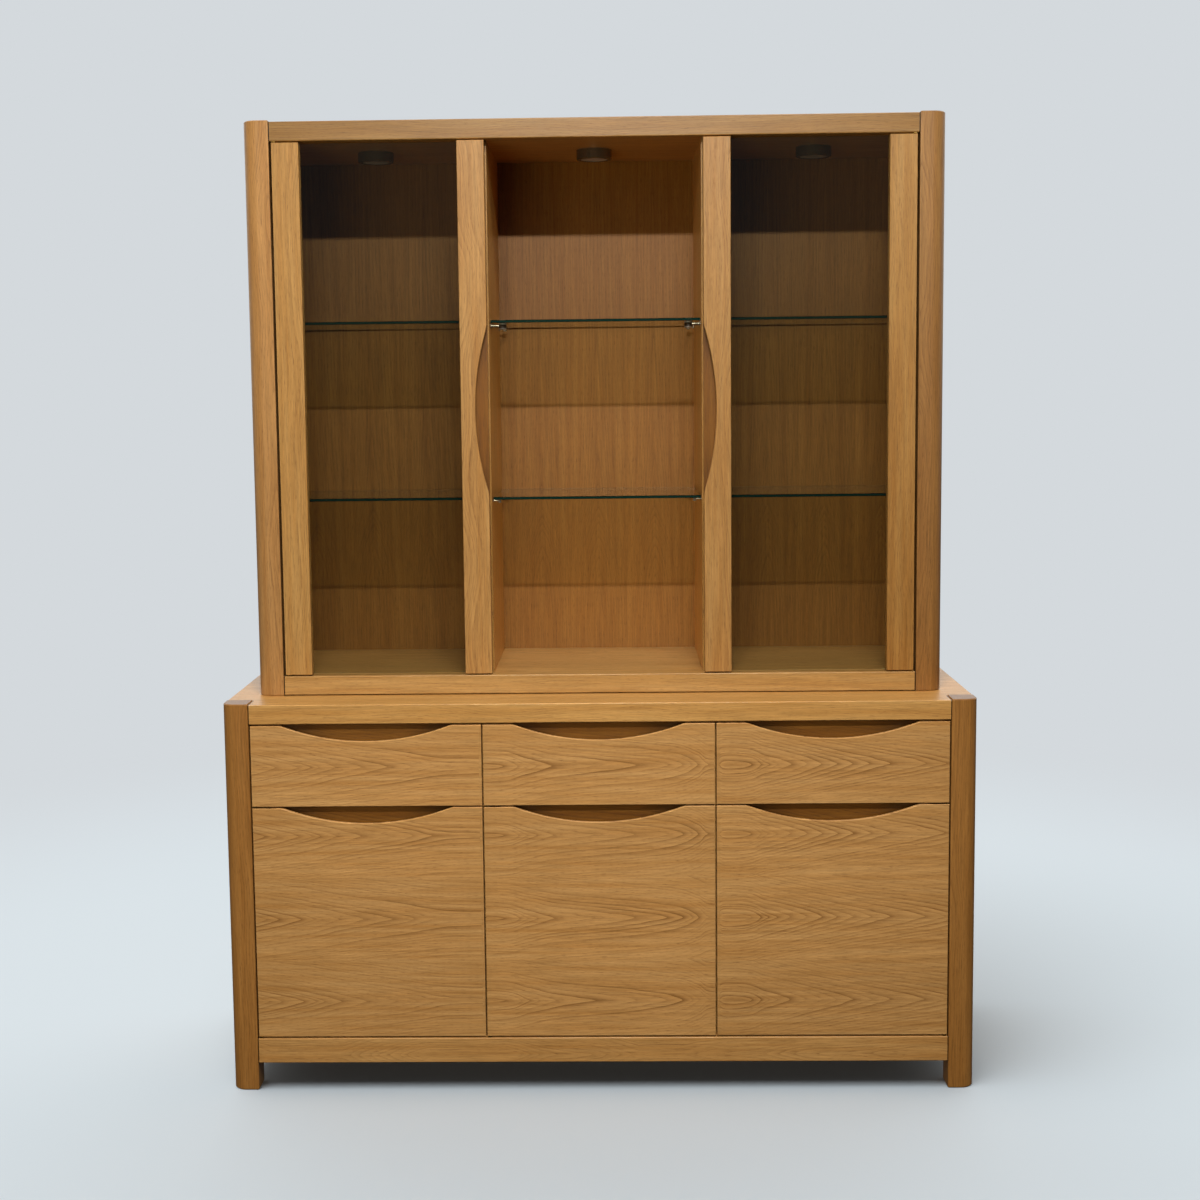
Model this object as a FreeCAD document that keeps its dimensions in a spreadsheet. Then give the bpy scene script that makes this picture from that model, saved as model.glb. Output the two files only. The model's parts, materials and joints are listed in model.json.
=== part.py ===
import FreeCAD, Part
import math
import os
import re
import Sketcher

# A display sideboard in oak: a base cabinet with three drawers over three doors, and a hutch set
# back on its top, with a glass door on each side of an open bay. Millimetres. The origin is on the
# floor under the middle of the cabinet, +Z is up, the front looks to -Y and +X is its right side.

Vector = FreeCAD.Vector
Constraint = Sketcher.Constraint
TOUCH = 0.001  # two places closer than this are the same place

# The driving sizes: a word for the sheet, the size, and what it measures.
SIZES = (
    ("total_width", 1550, "over the base posts"),
    ("base_depth", 500, "from the front of the base to its back"),
    ("base_height", 818, "floor to the face of the base top"),
    ("total_height", 2011, "floor to the ends of the hutch posts"),
    ("post_width", 55, "side of every square post"),
    ("post_round", 28, "radius down the outer front corner of a front post"),
    ("post_edge", 3, "radius of a post's other long edges"),
    ("post_end_edge", 2, "bevel round a post's ends"),
    ("base_post_proud", 2, "end grain of a base post over the base top"),
    ("foot_height", 58.5, "floor to the front rail"),
    ("front_rail_height", 52.5, "the rail under the doors"),
    ("front_rail_thickness", 25, "the same rail, front to back"),
    ("top_thickness", 40, "base top"),
    ("board_edge", 2, "radius of the long edges of tops and rails"),
    ("panel_thickness", 20, "carcass panels and partitions"),
    ("side_inset", 3, "outer face of a side panel behind that of its post"),
    ("back_thickness", 8, "back panels"),
    ("back_inset", 6, "back of a back panel in front of the cabinet's back"),
    ("divider_thickness", 18, "panel between the drawers and the cupboards"),
    ("top_rail_height", 40, "rail behind the top edge of the drawer fronts"),
    ("mid_rail_height", 38, "rail behind the joint of drawers and doors"),
    ("front_thickness", 22, "drawer fronts and cupboard doors"),
    ("behind_fronts", 2, "gap from a front or door to the rail behind it"),
    ("front_edge", 1, "bevel round the face of every front and door"),
    ("post_gap", 3, "gap from a post to the front beside it"),
    ("fronts_gap", 3, "gap between fronts side by side"),
    ("drawer_door_gap", 3.5, "gap between a drawer front and the door under it"),
    ("under_top_gap", 4, "gap over a drawer front"),
    ("sill_gap", 4, "gap under a cupboard door"),
    ("drawer_front_height", 168.5, "drawer front"),
    ("pull_reach", 181, "half the length of a lens-shaped pull, shoulders included"),
    ("front_pull_dip", 33, "how far the pull of a door or drawer dips from the edge"),
    ("front_pull_shoulder", 28, "radius where that pull runs out into the edge"),
    ("stile_pull_dip", 26, "how far the pull of a glass door dips from the edge"),
    ("stile_pull_shoulder", 60, "radius where that pull runs out into the edge"),
    ("pull_lip", 8, "thickness of the lip that the fingers hook behind"),
    ("pull_floor", 17, "face of the front to the floor of the pull"),
    ("pull_undercut", 9, "how much deeper the groove behind the lip dips"),
    ("drawer_side_thickness", 12, "sides and ends of a drawer"),
    ("drawer_box_height", 118, "the same, standing"),
    ("drawer_back_gap", 24, "drawer box to the back panel"),
    ("drawer_box_lift", 6, "drawer box over the lower edge of its front"),
    ("drawer_bottom_thickness", 6, "drawer bottom"),
    ("drawer_bottom_lift", 8, "drawer bottom over the lower edge of the box"),
    ("drawer_groove", 5, "groove in a drawer side for the bottom"),
    ("runner_height", 18, "batten that a drawer slides on"),
    ("runner_gap", 5, "gap between a drawer box and the wall beside it"),
    ("runner_reach", 6, "how far a batten stands in the drawer side"),
    ("runner_lift", 52, "lower edge of the drawer box to the batten"),
    ("runner_play", 0.3, "batten to the top and bottom of its groove"),
    ("runner_side_play", 1, "batten to the floor of its groove"),
    ("shelf_thickness", 18, "cupboard shelf"),
    ("shelf_height_share", 0.5, "cupboard shelf, as a share of the cupboard's height"),
    ("shelf_setback", 6, "front of a cupboard shelf behind the posts"),
    ("shelf_back_gap", 4, "cupboard shelf to the back panel"),
    ("shelf_play", 1, "cupboard shelf to the wall beside it"),
    ("clip_width", 9, "clip under a cupboard shelf"),
    ("clip_reach", 11, "tongue of a clip, out from the wall"),
    ("clip_drop", 13, "tab of a clip, down the wall"),
    ("clip_metal", 1.2, "sheet that a clip is bent from"),
    ("clip_inset", 45, "clip from the front or back edge of its shelf"),
    ("hutch_setback", 110, "front of the hutch behind the front of the base"),
    ("hutch_lift", 2, "shadow gap under the hutch's bottom board"),
    ("hutch_board", 39.5, "top and bottom board of the hutch"),
    ("hutch_post_proud", 3, "end grain of a hutch post over the hutch top"),
    ("centre_bay_width", 442, "open bay, between its partitions"),
    ("hutch_partition", 24, "thickness of a hutch partition"),
    ("hutch_door_gap", 3, "gap over and under a glass door"),
    ("hinge_gap", 4.5, "gap from a hutch post to the glass door"),
    ("bay_reveal", 3, "a glass door's free edge to the open bay"),
    ("stile_width", 56, "both stiles of a glass door"),
    ("stile_thickness", 25, "both stiles of a glass door"),
    ("glass_thickness", 5, "door glass"),
    ("glass_setback", 13, "face of a stile to the glass"),
    ("glass_groove", 10, "groove that holds the glass"),
    ("glass_end_gap", 1.5, "end of a stile to the end of the glass"),
    ("pane_thickness", 6, "glass shelf"),
    ("pane_setback", 3, "front of a glass shelf behind the hutch posts"),
    ("pane_back_gap", 3, "glass shelf to the back panel"),
    ("pane_play", 1.5, "glass shelf to the wall beside it"),
    ("pane_edge", 1, "polished bevel of a glass shelf"),
    ("holder_reach", 34, "glass shelf holder, from the wall to the far side of its barrel"),
    ("holder_radius", 8.5, "barrel of a holder, under the glass"),
    ("holder_height", 14, "barrel of a holder"),
    ("holder_flat_share", 0.4142, "half a side of the eight-sided barrel, of its radius"),
    ("holder_arm", 6, "square arm of a holder, from the wall to its barrel"),
    ("holder_inset", 22, "middle of a holder from the front or back edge of its glass shelf"),
    ("light_radius", 38, "puck light"),
    ("light_height", 21, "puck light"),
    ("light_edge", 2, "bevel round the lower edge of a light"),
    ("lens_radius", 29, "lens of a puck light"),
    ("lens_thickness", 2.5, "lens of a puck light"),
    ("lens_recess", 1, "lens up inside the rim"),
    ("light_back_share", 0.5, "place of the lights, as a share of the hutch's depth"),
    ("pivot_inset", 5, "hinge axis from the edge and from the face of a door"),
    ("pivot_radius", 2, "hinge pin"),
    ("pivot_play", 0.05, "hinge pin to its bore, all round"),
    ("pivot_reach", 10, "hinge pin beyond its leaf"),
    ("leaf_width", 7, "leaf of a hinge"),
    ("leaf_thickness", 2, "leaf fixed to the cabinet"),
    ("leaf_length", 48, "leaf fixed to the cabinet"),
    ("leaf_clearance", 0.6, "top of a cupboard door to the leaf over it"),
    ("plate_thickness", 2.5, "leaf let into the door"),
    ("plate_length", 38, "leaf let into the door"),
    ("pin_hole_play", 0.5, "hinge pin to the wood round it"),
)

# Sizes worked out from those above, in the order that they need each other.
WORKED = (
    ("front", "-base_depth / 2"),
    ("rear", "base_depth / 2"),
    ("half_width", "total_width / 2"),
    ("post_inner", "half_width - post_width"),
    ("post_back", "front + post_width"),
    ("rear_post_front", "rear - post_width"),
    ("under_top", "base_height - top_thickness"),
    ("sill", "foot_height + front_rail_height"),
    ("rail_front", "front + front_thickness + behind_fronts"),
    ("back_face", "rear - back_inset - back_thickness"),
    ("side_inner", "half_width - side_inset - panel_thickness"),
    ("floor_panel", "sill - panel_thickness"),
    ("drawer_base", "under_top - under_top_gap - drawer_front_height"),
    ("door_top", "drawer_base - drawer_door_gap"),
    ("door_base", "sill + sill_gap"),
    ("door_height", "door_top - door_base"),
    ("rail_top", "door_top + leaf_clearance"),
    ("divider_base", "rail_top - divider_thickness"),
    ("top_rail_base", "under_top - top_rail_height"),
    ("mid_rail_base", "rail_top - mid_rail_height"),
    ("halving", "(post_back + back_face) / 2"),
    ("front_width", "(2 * post_inner - 2 * post_gap - 2 * fronts_gap) / 3"),
    ("partition_middle", "(front_width + fronts_gap) / 2"),
    ("partition_near", "partition_middle - panel_thickness / 2"),
    ("partition_far", "partition_middle + panel_thickness / 2"),
    ("shelf_top", "sill + (divider_base - sill) * shelf_height_share"),
    ("shelf_base", "shelf_top - shelf_thickness"),
    ("shelf_front", "post_back + shelf_setback"),
    ("shelf_depth", "back_face - shelf_back_gap - shelf_front"),
    ("front_pull_sweep", "(pull_reach ^ 2 + front_pull_dip ^ 2) / (2 * front_pull_dip)"),
    ("front_pull_radius", "front_pull_sweep - front_pull_shoulder"),
    ("front_pull_join_in", "pull_reach * front_pull_radius / front_pull_sweep"),
    ("front_pull_join_down", "front_pull_dip * front_pull_shoulder / front_pull_sweep"),
    ("front_groove_dip", "front_pull_dip + pull_undercut"),
    ("front_groove_radius", "(pull_reach ^ 2 + front_groove_dip ^ 2) / (2 * front_groove_dip)"),
    ("stile_pull_sweep", "(pull_reach ^ 2 + stile_pull_dip ^ 2) / (2 * stile_pull_dip)"),
    ("stile_pull_radius", "stile_pull_sweep - stile_pull_shoulder"),
    ("stile_pull_join_in", "pull_reach * stile_pull_radius / stile_pull_sweep"),
    ("stile_pull_join_down", "stile_pull_dip * stile_pull_shoulder / stile_pull_sweep"),
    ("stile_groove_dip", "stile_pull_dip + pull_undercut"),
    ("stile_groove_radius", "(pull_reach ^ 2 + stile_groove_dip ^ 2) / (2 * stile_groove_dip)"),
    ("box_base", "drawer_base + drawer_box_lift"),
    ("drawer_box_depth", "back_face - drawer_back_gap - front - front_thickness"),
    ("runner_base", "box_base + runner_lift"),
    ("runner_slot", "runner_reach + runner_side_play"),
    ("hutch_front", "front + hutch_setback"),
    ("hutch_post_back", "hutch_front + post_width"),
    ("hutch_inner", "post_inner - post_width"),
    ("hutch_side_inner", "post_inner - side_inset - panel_thickness"),
    ("hutch_base", "base_height + hutch_lift"),
    ("hutch_floor", "hutch_base + hutch_board"),
    ("hutch_top_face", "total_height - hutch_post_proud"),
    ("hutch_ceiling", "hutch_top_face - hutch_board"),
    ("hutch_clear", "hutch_ceiling - hutch_floor"),
    ("bay_half", "centre_bay_width / 2"),
    ("partition_outer", "bay_half + hutch_partition"),
    ("hutch_partition_front", "hutch_front + stile_thickness + behind_fronts"),
    ("glass_door_base", "hutch_floor + hutch_door_gap"),
    ("stile_length", "hutch_clear - 2 * hutch_door_gap"),
    ("glass_door_hinge", "hutch_inner - hinge_gap"),
    ("glass_door_free", "bay_half + bay_reveal"),
    ("tier", "(hutch_clear - 2 * pane_thickness) / 3"),
    ("pane_front", "hutch_post_back + pane_setback"),
    ("pane_depth", "back_face - pane_back_gap - pane_front"),
    ("side_bay_middle", "(hutch_side_inner + partition_outer) / 2"),
    ("side_bay_width", "hutch_side_inner - partition_outer"),
    ("light_place", "hutch_front + (rear - hutch_front) * light_back_share"),
    ("bore_radius", "pivot_radius + pivot_play"),
    ("leaf_start", "pivot_inset - leaf_width / 2"),
    ("leaf_end", "pivot_inset + leaf_width / 2"),
    ("leaf_back", "front + leaf_start + leaf_length"),
)

doc = FreeCAD.newDocument("DisplaySideboard")
sheet = doc.addObject("Spreadsheet::Sheet", "Sizes")
worked = doc.addObject("Spreadsheet::Sheet", "Worked")
driving_words = {word for word, value, note in SIZES}
worked_words = {word for word, formula in WORKED}
pieces = []


def bound(text, inside_worked=False):
    """An expression in plain size words, with the sheet's name put before each word."""
    def full(match):
        word = match.group()
        if word in driving_words:
            return "Sizes." + word
        if word in worked_words:
            return word if inside_worked else "Worked." + word
        raise KeyError(word)
    return re.sub(r"[a-z][a-z_]*", full, text)


def size(word):
    """The number that a size word stands for."""
    return float(sheet.get(word) if word in driving_words else worked.get(word))


def bound_value(text):
    """The number that an expression in size words comes to now."""
    return float(sheet.evalExpression(bound(text)))


def bind(thing, **texts):
    """Tie properties to expressions; a double underscore in a name stands for a dot."""
    for name, text in texts.items():
        thing.setExpression(name.replace("__", "."), bound(text))


def place(thing, x, y, z):
    bind(thing, Placement__Base__x=x, Placement__Base__y=y, Placement__Base__z=z)


def keep(thing, label):
    """Mark an object of the document as a finished piece, exported under its label."""
    thing.Label = label
    pieces.append(thing)
    return thing


def sides():
    """The left and the right side: a word, a sign for expressions and for numbers."""
    return (("left", "-", -1), ("right", "", 1))


def fill_sheets():
    for row, (word, value, note) in enumerate(SIZES, start=1):
        sheet.set("A%d" % row, str(value))
        sheet.setAlias("A%d" % row, word)
        sheet.set("B%d" % row, "'" + note)
    for row, (word, formula) in enumerate(WORKED, start=1):
        worked.set("A%d" % row, "=" + bound(formula, inside_worked=True))
        worked.setAlias("A%d" % row, word)
    doc.recompute()


# Drawing tools

def new_sketch(body, role, offset="0"):
    """A sketch on one of the body's own origin planes, moved along that plane's normal."""
    sketch = body.newObject("Sketcher::SketchObject", "Outline")
    plane = [item for item in body.Origin.OriginFeatures if item.Role == role][0]
    sketch.AttachmentSupport = [(plane, "")]
    sketch.MapMode = "FlatFace"
    bind(sketch, AttachmentOffset__Base__z=offset)
    return sketch


def fix(sketch, kind, edge, end, text, now=1):
    """Hold one end of an edge at a bound distance from the sketch's origin."""
    number = sketch.addConstraint(Constraint(kind, -1, 1, edge, end, now))
    bind(sketch, **{"Constraints[%d]" % number: text})


def polygon(body, role, corners, offset="0"):
    """A closed outline of straight lines whose corners are pairs of expressions."""
    sketch = new_sketch(body, role, offset)
    count = len(corners)
    spots = [Vector(math.cos(2 * math.pi * k / count), math.sin(2 * math.pi * k / count), 0)
             for k in range(count)]
    lines = [sketch.addGeometry(Part.LineSegment(spots[k], spots[(k + 1) % count]))
             for k in range(count)]
    for k in range(count):
        sketch.addConstraint(Constraint("Coincident", lines[k], 2, lines[(k + 1) % count], 1))
    for line, (across, along) in zip(lines, corners):
        fix(sketch, "DistanceX", line, 1, across)
        fix(sketch, "DistanceY", line, 1, along)
    return sketch


def rectangle(body, role, low, high, offset="0"):
    """A rectangle between two corners, each a pair of expressions."""
    corners = ((low[0], low[1]), (high[0], low[1]), (high[0], high[1]), (low[0], high[1]))
    return polygon(body, role, corners, offset)


def dipped_outline(body, length, width, dipped, offset):
    """A board's outline, with a dip in the middle of its far edge, for a pull or its groove.

    A groove is one plain arc. A pull has a shoulder arc at each end that leads the edge into the
    long arc, and they meet where both run alike. What is dipped starts the names of its sizes.
    """
    sketch = new_sketch(body, "XZ_Plane", offset)
    middle, high, reach = size(length) / 2, size(width), size("pull_reach")
    dip, radius = size(dipped + "_dip"), size(dipped + "_radius")
    shoulder = size(dipped + "_shoulder") if dipped.endswith("pull") else 0
    up = math.pi / 2
    tilt = math.atan2(radius + shoulder - dip, reach)

    def arc(across, along, length_of_radius, start, end):
        circle = Part.Circle(Vector(across, along, 0), Vector(0, 0, 1), length_of_radius)
        return Part.ArcOfCircle(circle, start, end)

    # Each corner: its place as expressions, then the arc that starts there, if it isn't a line.
    long_arc = arc(middle, high + radius - dip, radius, tilt - math.pi, -tilt)
    right_end, left_end = length + " / 2 + pull_reach", length + " / 2 - pull_reach"
    edge_with_dip = [(right_end, width, long_arc), (left_end, width, None)]
    if shoulder:
        join_in, join_down = dipped + "_join_in", width + " - %s_join_down" % dipped
        edge_with_dip = [
            (right_end, width, arc(middle + reach, high - shoulder, shoulder, up, math.pi - tilt)),
            (length + " / 2 + " + join_in, join_down, long_arc),
            (length + " / 2 - " + join_in, join_down,
             arc(middle - reach, high - shoulder, shoulder, tilt, up)),
            (left_end, width, None)]
    corners = [("0", "0", None), (length, "0", None), (length, width, None)]
    corners += edge_with_dip + [("0", width, None)]
    spots = [Vector(bound_value(across), bound_value(along), 0) for across, along, curve in corners]

    edges = []
    for k, (across, along, curve) in enumerate(corners):
        shape = curve or Part.LineSegment(spots[k], spots[(k + 1) % len(spots)])
        edges.append(sketch.addGeometry(shape))
    # The long arc runs from left to right, so its ends lie the other way round.
    starts = [2 if curve is long_arc else 1 for across, along, curve in corners]
    for k, edge in enumerate(edges):
        following = (k + 1) % len(edges)
        sketch.addConstraint(
            Constraint("Coincident", edge, 3 - starts[k], edges[following], starts[following]))
        across, along, curve = corners[k]
        fix(sketch, "DistanceX", edge, starts[k], across, spots[k].x)
        fix(sketch, "DistanceY", edge, starts[k], along, spots[k].y)
        if curve:
            number = sketch.addConstraint(Constraint("Radius", edge, curve.Radius))
            word = "_radius" if curve is long_arc else "_shoulder"
            bind(sketch, **{"Constraints[%d]" % number: dipped + word})
    return sketch


# Making tools

def new_body(label):
    return keep(doc.addObject("PartDesign::Body", label), label)


def pad(body, sketch, length, backwards=False):
    feature = body.newObject("PartDesign::Pad", "Pad")
    feature.Profile = sketch
    feature.Reversed = backwards
    bind(feature, Length=length)
    sketch.Visibility = False
    return feature


def pocket(body, sketch, depth, backwards=False):
    """Cut a sketch into a body, and make sure that the cut took something away."""
    doc.recompute()
    before = body.Shape.Volume
    feature = body.newObject("PartDesign::Pocket", "Pocket")
    feature.Profile = sketch
    feature.Reversed = backwards
    bind(feature, Length=depth)
    doc.recompute()
    if not body.Shape.Volume < before:
        raise ValueError("%s: a pocket cuts nothing" % body.Label)
    return feature


def ease(body, amount, test, kind="Fillet"):
    """Round the edges of a body whose bounding boxes pass the test, or bevel them."""
    doc.recompute()
    tip = body.Tip
    names = ["Edge%d" % (k + 1) for k, edge in enumerate(tip.Shape.Edges) if test(edge.BoundBox)]
    if not names:
        raise ValueError("%s: no edge to ease" % body.Label)
    feature = body.newObject("PartDesign::" + kind, "Ease")
    feature.Base = (tip, names)
    bind(feature, **{"Radius" if kind == "Fillet" else "Size": amount})
    return feature


def near(one, other):
    return abs(one - other) < TOUCH


def block(label, low, high):
    """A plain rectangular piece between two corners, each three expressions."""
    box = doc.addObject("Part::Box", label)
    place(box, *low)
    spans = ["(%s) - (%s)" % (far, close) for close, far in zip(low, high)]
    bind(box, Length=spans[0], Width=spans[1], Height=spans[2])
    return box


def group(label, parts):
    """Alike pieces that share one file, each still its own solid."""
    bundle = doc.addObject("Part::Compound", label)
    bundle.Links = parts
    return keep(bundle, label)


def notched(label, base, thickness, corners):
    """A flat board from the corners of its right half, front to back; the left half mirrors it."""
    left = [("-(%s)" % across, along) for across, along in reversed(corners)]
    body = new_body(label)
    pad(body, polygon(body, "XY_Plane", list(corners) + left), thickness)
    place(body, "0", "0", base)
    return body


def outward(sign, inner, outer):
    """The low and high X of a span that starts nearer the middle, on either side."""
    if sign:
        return "-(%s)" % outer, "-(%s)" % inner
    return inner, outer


# Posts

def post(label, side, x, y, z, length, is_front):
    """A square post; a front post has its outer front corner rounded off."""
    body = new_body(label)
    pad(body, rectangle(body, "XY_Plane", ("0", "0"), ("post_width", "post_width")), length)
    place(body, x, y, z)
    doc.recompute()
    wide = size("post_width")
    tall = body.Shape.BoundBox.ZLength
    outer = 0 if side < 0 else wide

    def is_round(box):
        return is_front and near(box.YMax, 0) and near(box.XMin, outer)

    if is_front:
        ease(body, "post_round", lambda box: near(box.ZLength, tall) and is_round(box))
    corners = [(across, along) for across in (0, wide) for along in (0, wide)
               if not (is_front and along == 0 and across == outer)]
    ease(body, "post_edge", lambda box: near(box.ZLength, tall) and near(box.XLength, 0)
         and any(near(box.XMin, across) and near(box.YMin, along) for across, along in corners))
    ease(body, "post_end_edge", lambda box: near(box.ZMax, 0) or is_front and near(box.ZMin, tall),
         kind="Chamfer")
    return body


def make_posts():
    for word, sign, side in sides():
        x_base = outward(sign, "post_inner", "half_width")[0]
        x_hutch = outward(sign, "hutch_inner", "post_inner")[0]
        post("base_post_front_" + word, side, x_base, "front", "0",
             "base_height + base_post_proud", True)
        post("base_post_rear_" + word, side, x_base, "rear_post_front", "0", "under_top", False)
        post("hutch_post_" + word, side, x_hutch, "hutch_front", "base_height",
             "total_height - base_height", True)


# Boards and panels

def ease_long_edges(body, at_front_only):
    """Round a flat board's upper and lower edges, at its front or all round its outside."""
    doc.recompute()
    whole = body.Tip.Shape.BoundBox

    def outside(box):
        if near(box.YMax, whole.YMin):
            return True
        back_or_side = near(box.YMin, whole.YMax) or near(box.XMax, whole.XMin) or near(
            box.XMin, whole.XMax)
        return back_or_side and not at_front_only

    ease(body, "board_edge", lambda box: near(box.ZLength, 0) and outside(box))


def rail(label, low, high):
    """A rail with its front edges eased, between two corners."""
    body = new_body(label)
    spans = ["(%s) - (%s)" % (far, close) for close, far in zip(low, high)]
    pad(body, rectangle(body, "XY_Plane", ("0", "0"), (spans[0], spans[1])), spans[2])
    place(body, *low)
    ease_long_edges(body, at_front_only=True)
    return body


def make_base():
    top = notched("base_top", "under_top", "top_thickness", (
        ("post_inner", "front"), ("post_inner", "post_back"),
        ("half_width", "post_back"), ("half_width", "rear")))
    ease_long_edges(top, at_front_only=False)
    notched("base_bottom_panel", "floor_panel", "panel_thickness", (
        ("post_inner", "front + front_rail_thickness"), ("post_inner", "post_back"),
        ("side_inner", "post_back"), ("side_inner", "rear_post_front"),
        ("post_inner", "rear_post_front"), ("post_inner", "back_face")))
    notched("base_divider_panel", "divider_base", "divider_thickness", (
        ("side_inner", "post_back"), ("side_inner", "rear_post_front"),
        ("post_inner", "rear_post_front"), ("post_inner", "back_face"),
        ("partition_far", "back_face"), ("partition_far", "halving"),
        ("partition_near", "halving"), ("partition_near", "back_face")))
    keep(block("Back", ("-post_inner", "back_face", "floor_panel"),
               ("post_inner", "back_face + back_thickness", "under_top")), "base_back_panel")
    rail("base_front_rail", ("-post_inner", "front", "foot_height"),
         ("post_inner", "front + front_rail_thickness", "sill"))
    keep(block("TopRail", ("-post_inner", "rail_front", "top_rail_base"),
               ("post_inner", "post_back", "under_top")), "base_top_rail")
    keep(block("MidRail", ("-post_inner", "rail_front", "mid_rail_base"),
               ("post_inner", "post_back", "rail_top")), "base_mid_rail")
    for word, sign, side in sides():
        low, high = outward(sign, "side_inner", "half_width - side_inset")
        keep(block("Side", (low, "post_back", "foot_height"),
                   (high, "rear_post_front", "under_top")), "base_side_panel_" + word)
        partition = new_body("base_partition_" + word)
        foot = (("rail_front", "sill"),)
        over_rail = (("rail_front", "rail_top"),)
        if side < 0:
            # The middle door hangs here, so its two leaves are let into the partition's front.
            foot = (("leaf_back", "sill"), ("leaf_back", "sill + leaf_thickness"),
                    ("rail_front", "sill + leaf_thickness"))
            over_rail = (("rail_front", "rail_top + leaf_thickness"),
                         ("leaf_back", "rail_top + leaf_thickness"), ("leaf_back", "rail_top"))
        profile = polygon(partition, "YZ_Plane", (
            ("back_face", "sill"), ("back_face", "under_top"),
            ("post_back", "under_top"), ("post_back", "top_rail_base"),
            ("rail_front", "top_rail_base")) + over_rail + (
            ("halving", "rail_top"), ("halving", "divider_base"),
            ("post_back", "divider_base"), ("post_back", "mid_rail_base"),
            ("rail_front", "mid_rail_base")) + tuple(reversed(foot)))
        pad(partition, profile, "panel_thickness")
        place(partition, outward(sign, "partition_near", "partition_far")[0], "0", "0")


def make_hutch():
    outline = (("hutch_inner", "hutch_front"), ("hutch_inner", "hutch_post_back"),
               ("post_inner", "hutch_post_back"), ("post_inner", "rear"))
    for label, base in (("hutch_bottom", "hutch_base"), ("hutch_top", "hutch_ceiling")):
        ease_long_edges(notched(label, base, "hutch_board", outline), at_front_only=False)
    keep(block("Back", ("-hutch_side_inner", "back_face", "hutch_floor"),
               ("hutch_side_inner", "back_face + back_thickness", "hutch_ceiling")),
         "hutch_back_panel")
    for word, sign, side in sides():
        low, high = outward(sign, "hutch_side_inner", "post_inner - side_inset")
        keep(block("Side", (low, "hutch_post_back", "hutch_floor"), (high, "rear", "hutch_ceiling")),
             "hutch_side_panel_" + word)
        low, high = outward(sign, "bay_half", "partition_outer")
        keep(block("Partition", (low, "hutch_partition_front", "hutch_floor"),
                   (high, "back_face", "hutch_ceiling")), "hutch_partition_" + word)


# Fronts with a pull

def pull_board(label, length, width, thickness, kind):
    """A board with a lens-shaped pull scooped into its far edge, of the front or stile kind.

    It is glued up from three layers: a lip cut to the lens, a middle cut deeper so that the
    fingers hook behind the lip, and a whole back that is the floor of the pull.
    """
    body = new_body(label)
    lip = dipped_outline(body, length, width, kind + "_pull", "0")
    pad(body, lip, "pull_lip", backwards=True)
    groove = dipped_outline(body, length, width, kind + "_groove", "-pull_lip")
    pad(body, groove, "pull_floor - pull_lip", backwards=True)
    pad(body, rectangle(body, "XZ_Plane", ("0", "0"), (length, width), "-pull_floor"),
        thickness + " - pull_floor", backwards=True)
    ease_face(body)
    return body


def ease_face(body):
    """Bevel the edges round a front's face, which lies in its body's own XZ plane."""
    ease(body, "front_edge", lambda box: near(box.YMin, 0) and near(box.YMax, 0), kind="Chamfer")


# Pivot hinges

def pivot_cuts(body, length, hinge_at_far_edge, width):
    """Recesses and pin mortises for the two leaves let into a door's lower and upper ends."""
    if hinge_at_far_edge:
        low, high = width + " - leaf_start - plate_length", width + " - leaf_start"
        axis = width + " - pivot_inset"
    else:
        low, high, axis = "leaf_start", "leaf_start + plate_length", "pivot_inset"
    half = "pivot_radius + pin_hole_play"
    for offset, backwards in (("0", True), (length, False)):
        recess = rectangle(body, "XY_Plane", (low, "leaf_start"), (high, "leaf_end"), offset)
        pocket(body, recess, "plate_thickness", backwards)
        mortise = rectangle(body, "XY_Plane", ("%s - (%s)" % (axis, half), "pivot_inset - (%s)" % half),
                            ("%s + %s" % (axis, half), "pivot_inset + %s" % half), offset)
        pocket(body, mortise, "pivot_reach", backwards)


def rod(label, x, y, z, radius, length):
    """An upright cylinder with the middle of its lower end at a place."""
    cylinder = doc.addObject("Part::Cylinder", label)
    place(cylinder, x, y, z)
    bind(cylinder, Radius=radius, Height=length)
    return cylinder


def fixed_leaf(axis_x, face_y, seat, stands_up):
    """A leaf that lies on its seat, or hangs under it, with its pin towards the door."""
    start = seat if stands_up else "%s - leaf_thickness" % seat
    leaf = block("Leaf", ("%s - leaf_width / 2" % axis_x, "%s + leaf_start" % face_y, start),
                 ("%s + leaf_width / 2" % axis_x, "%s + leaf_start + leaf_length" % face_y,
                  "%s + leaf_thickness" % start))
    low = start if stands_up else "%s - pivot_reach" % start
    pin = rod("Pin", axis_x, "%s + pivot_inset" % face_y, low, "pivot_radius",
              "leaf_thickness + pivot_reach")
    whole = doc.addObject("Part::Fuse", "PivotLeaf")
    whole.Base = leaf
    whole.Tool = pin
    return whole


def door_plate(hinge_x, side, face_y, low):
    """A leaf let into a door's end, with the bore that turns on the pin."""
    if side < 0:
        near_x, far_x = "%s + leaf_start" % hinge_x, "%s + leaf_start + plate_length" % hinge_x
        axis_x = "%s + pivot_inset" % hinge_x
    else:
        near_x, far_x = "%s - leaf_start - plate_length" % hinge_x, "%s - leaf_start" % hinge_x
        axis_x = "%s - pivot_inset" % hinge_x
    plate = block("Plate", (near_x, "%s + leaf_start" % face_y, low),
                  (far_x, "%s + leaf_end" % face_y, "%s + plate_thickness" % low))
    bore = rod("Bore", axis_x, "%s + pivot_inset" % face_y, low, "bore_radius", "plate_thickness")
    bored = doc.addObject("Part::Cut", "DoorPlate")
    bored.Base = plate
    bored.Tool = bore
    return bored


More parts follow.
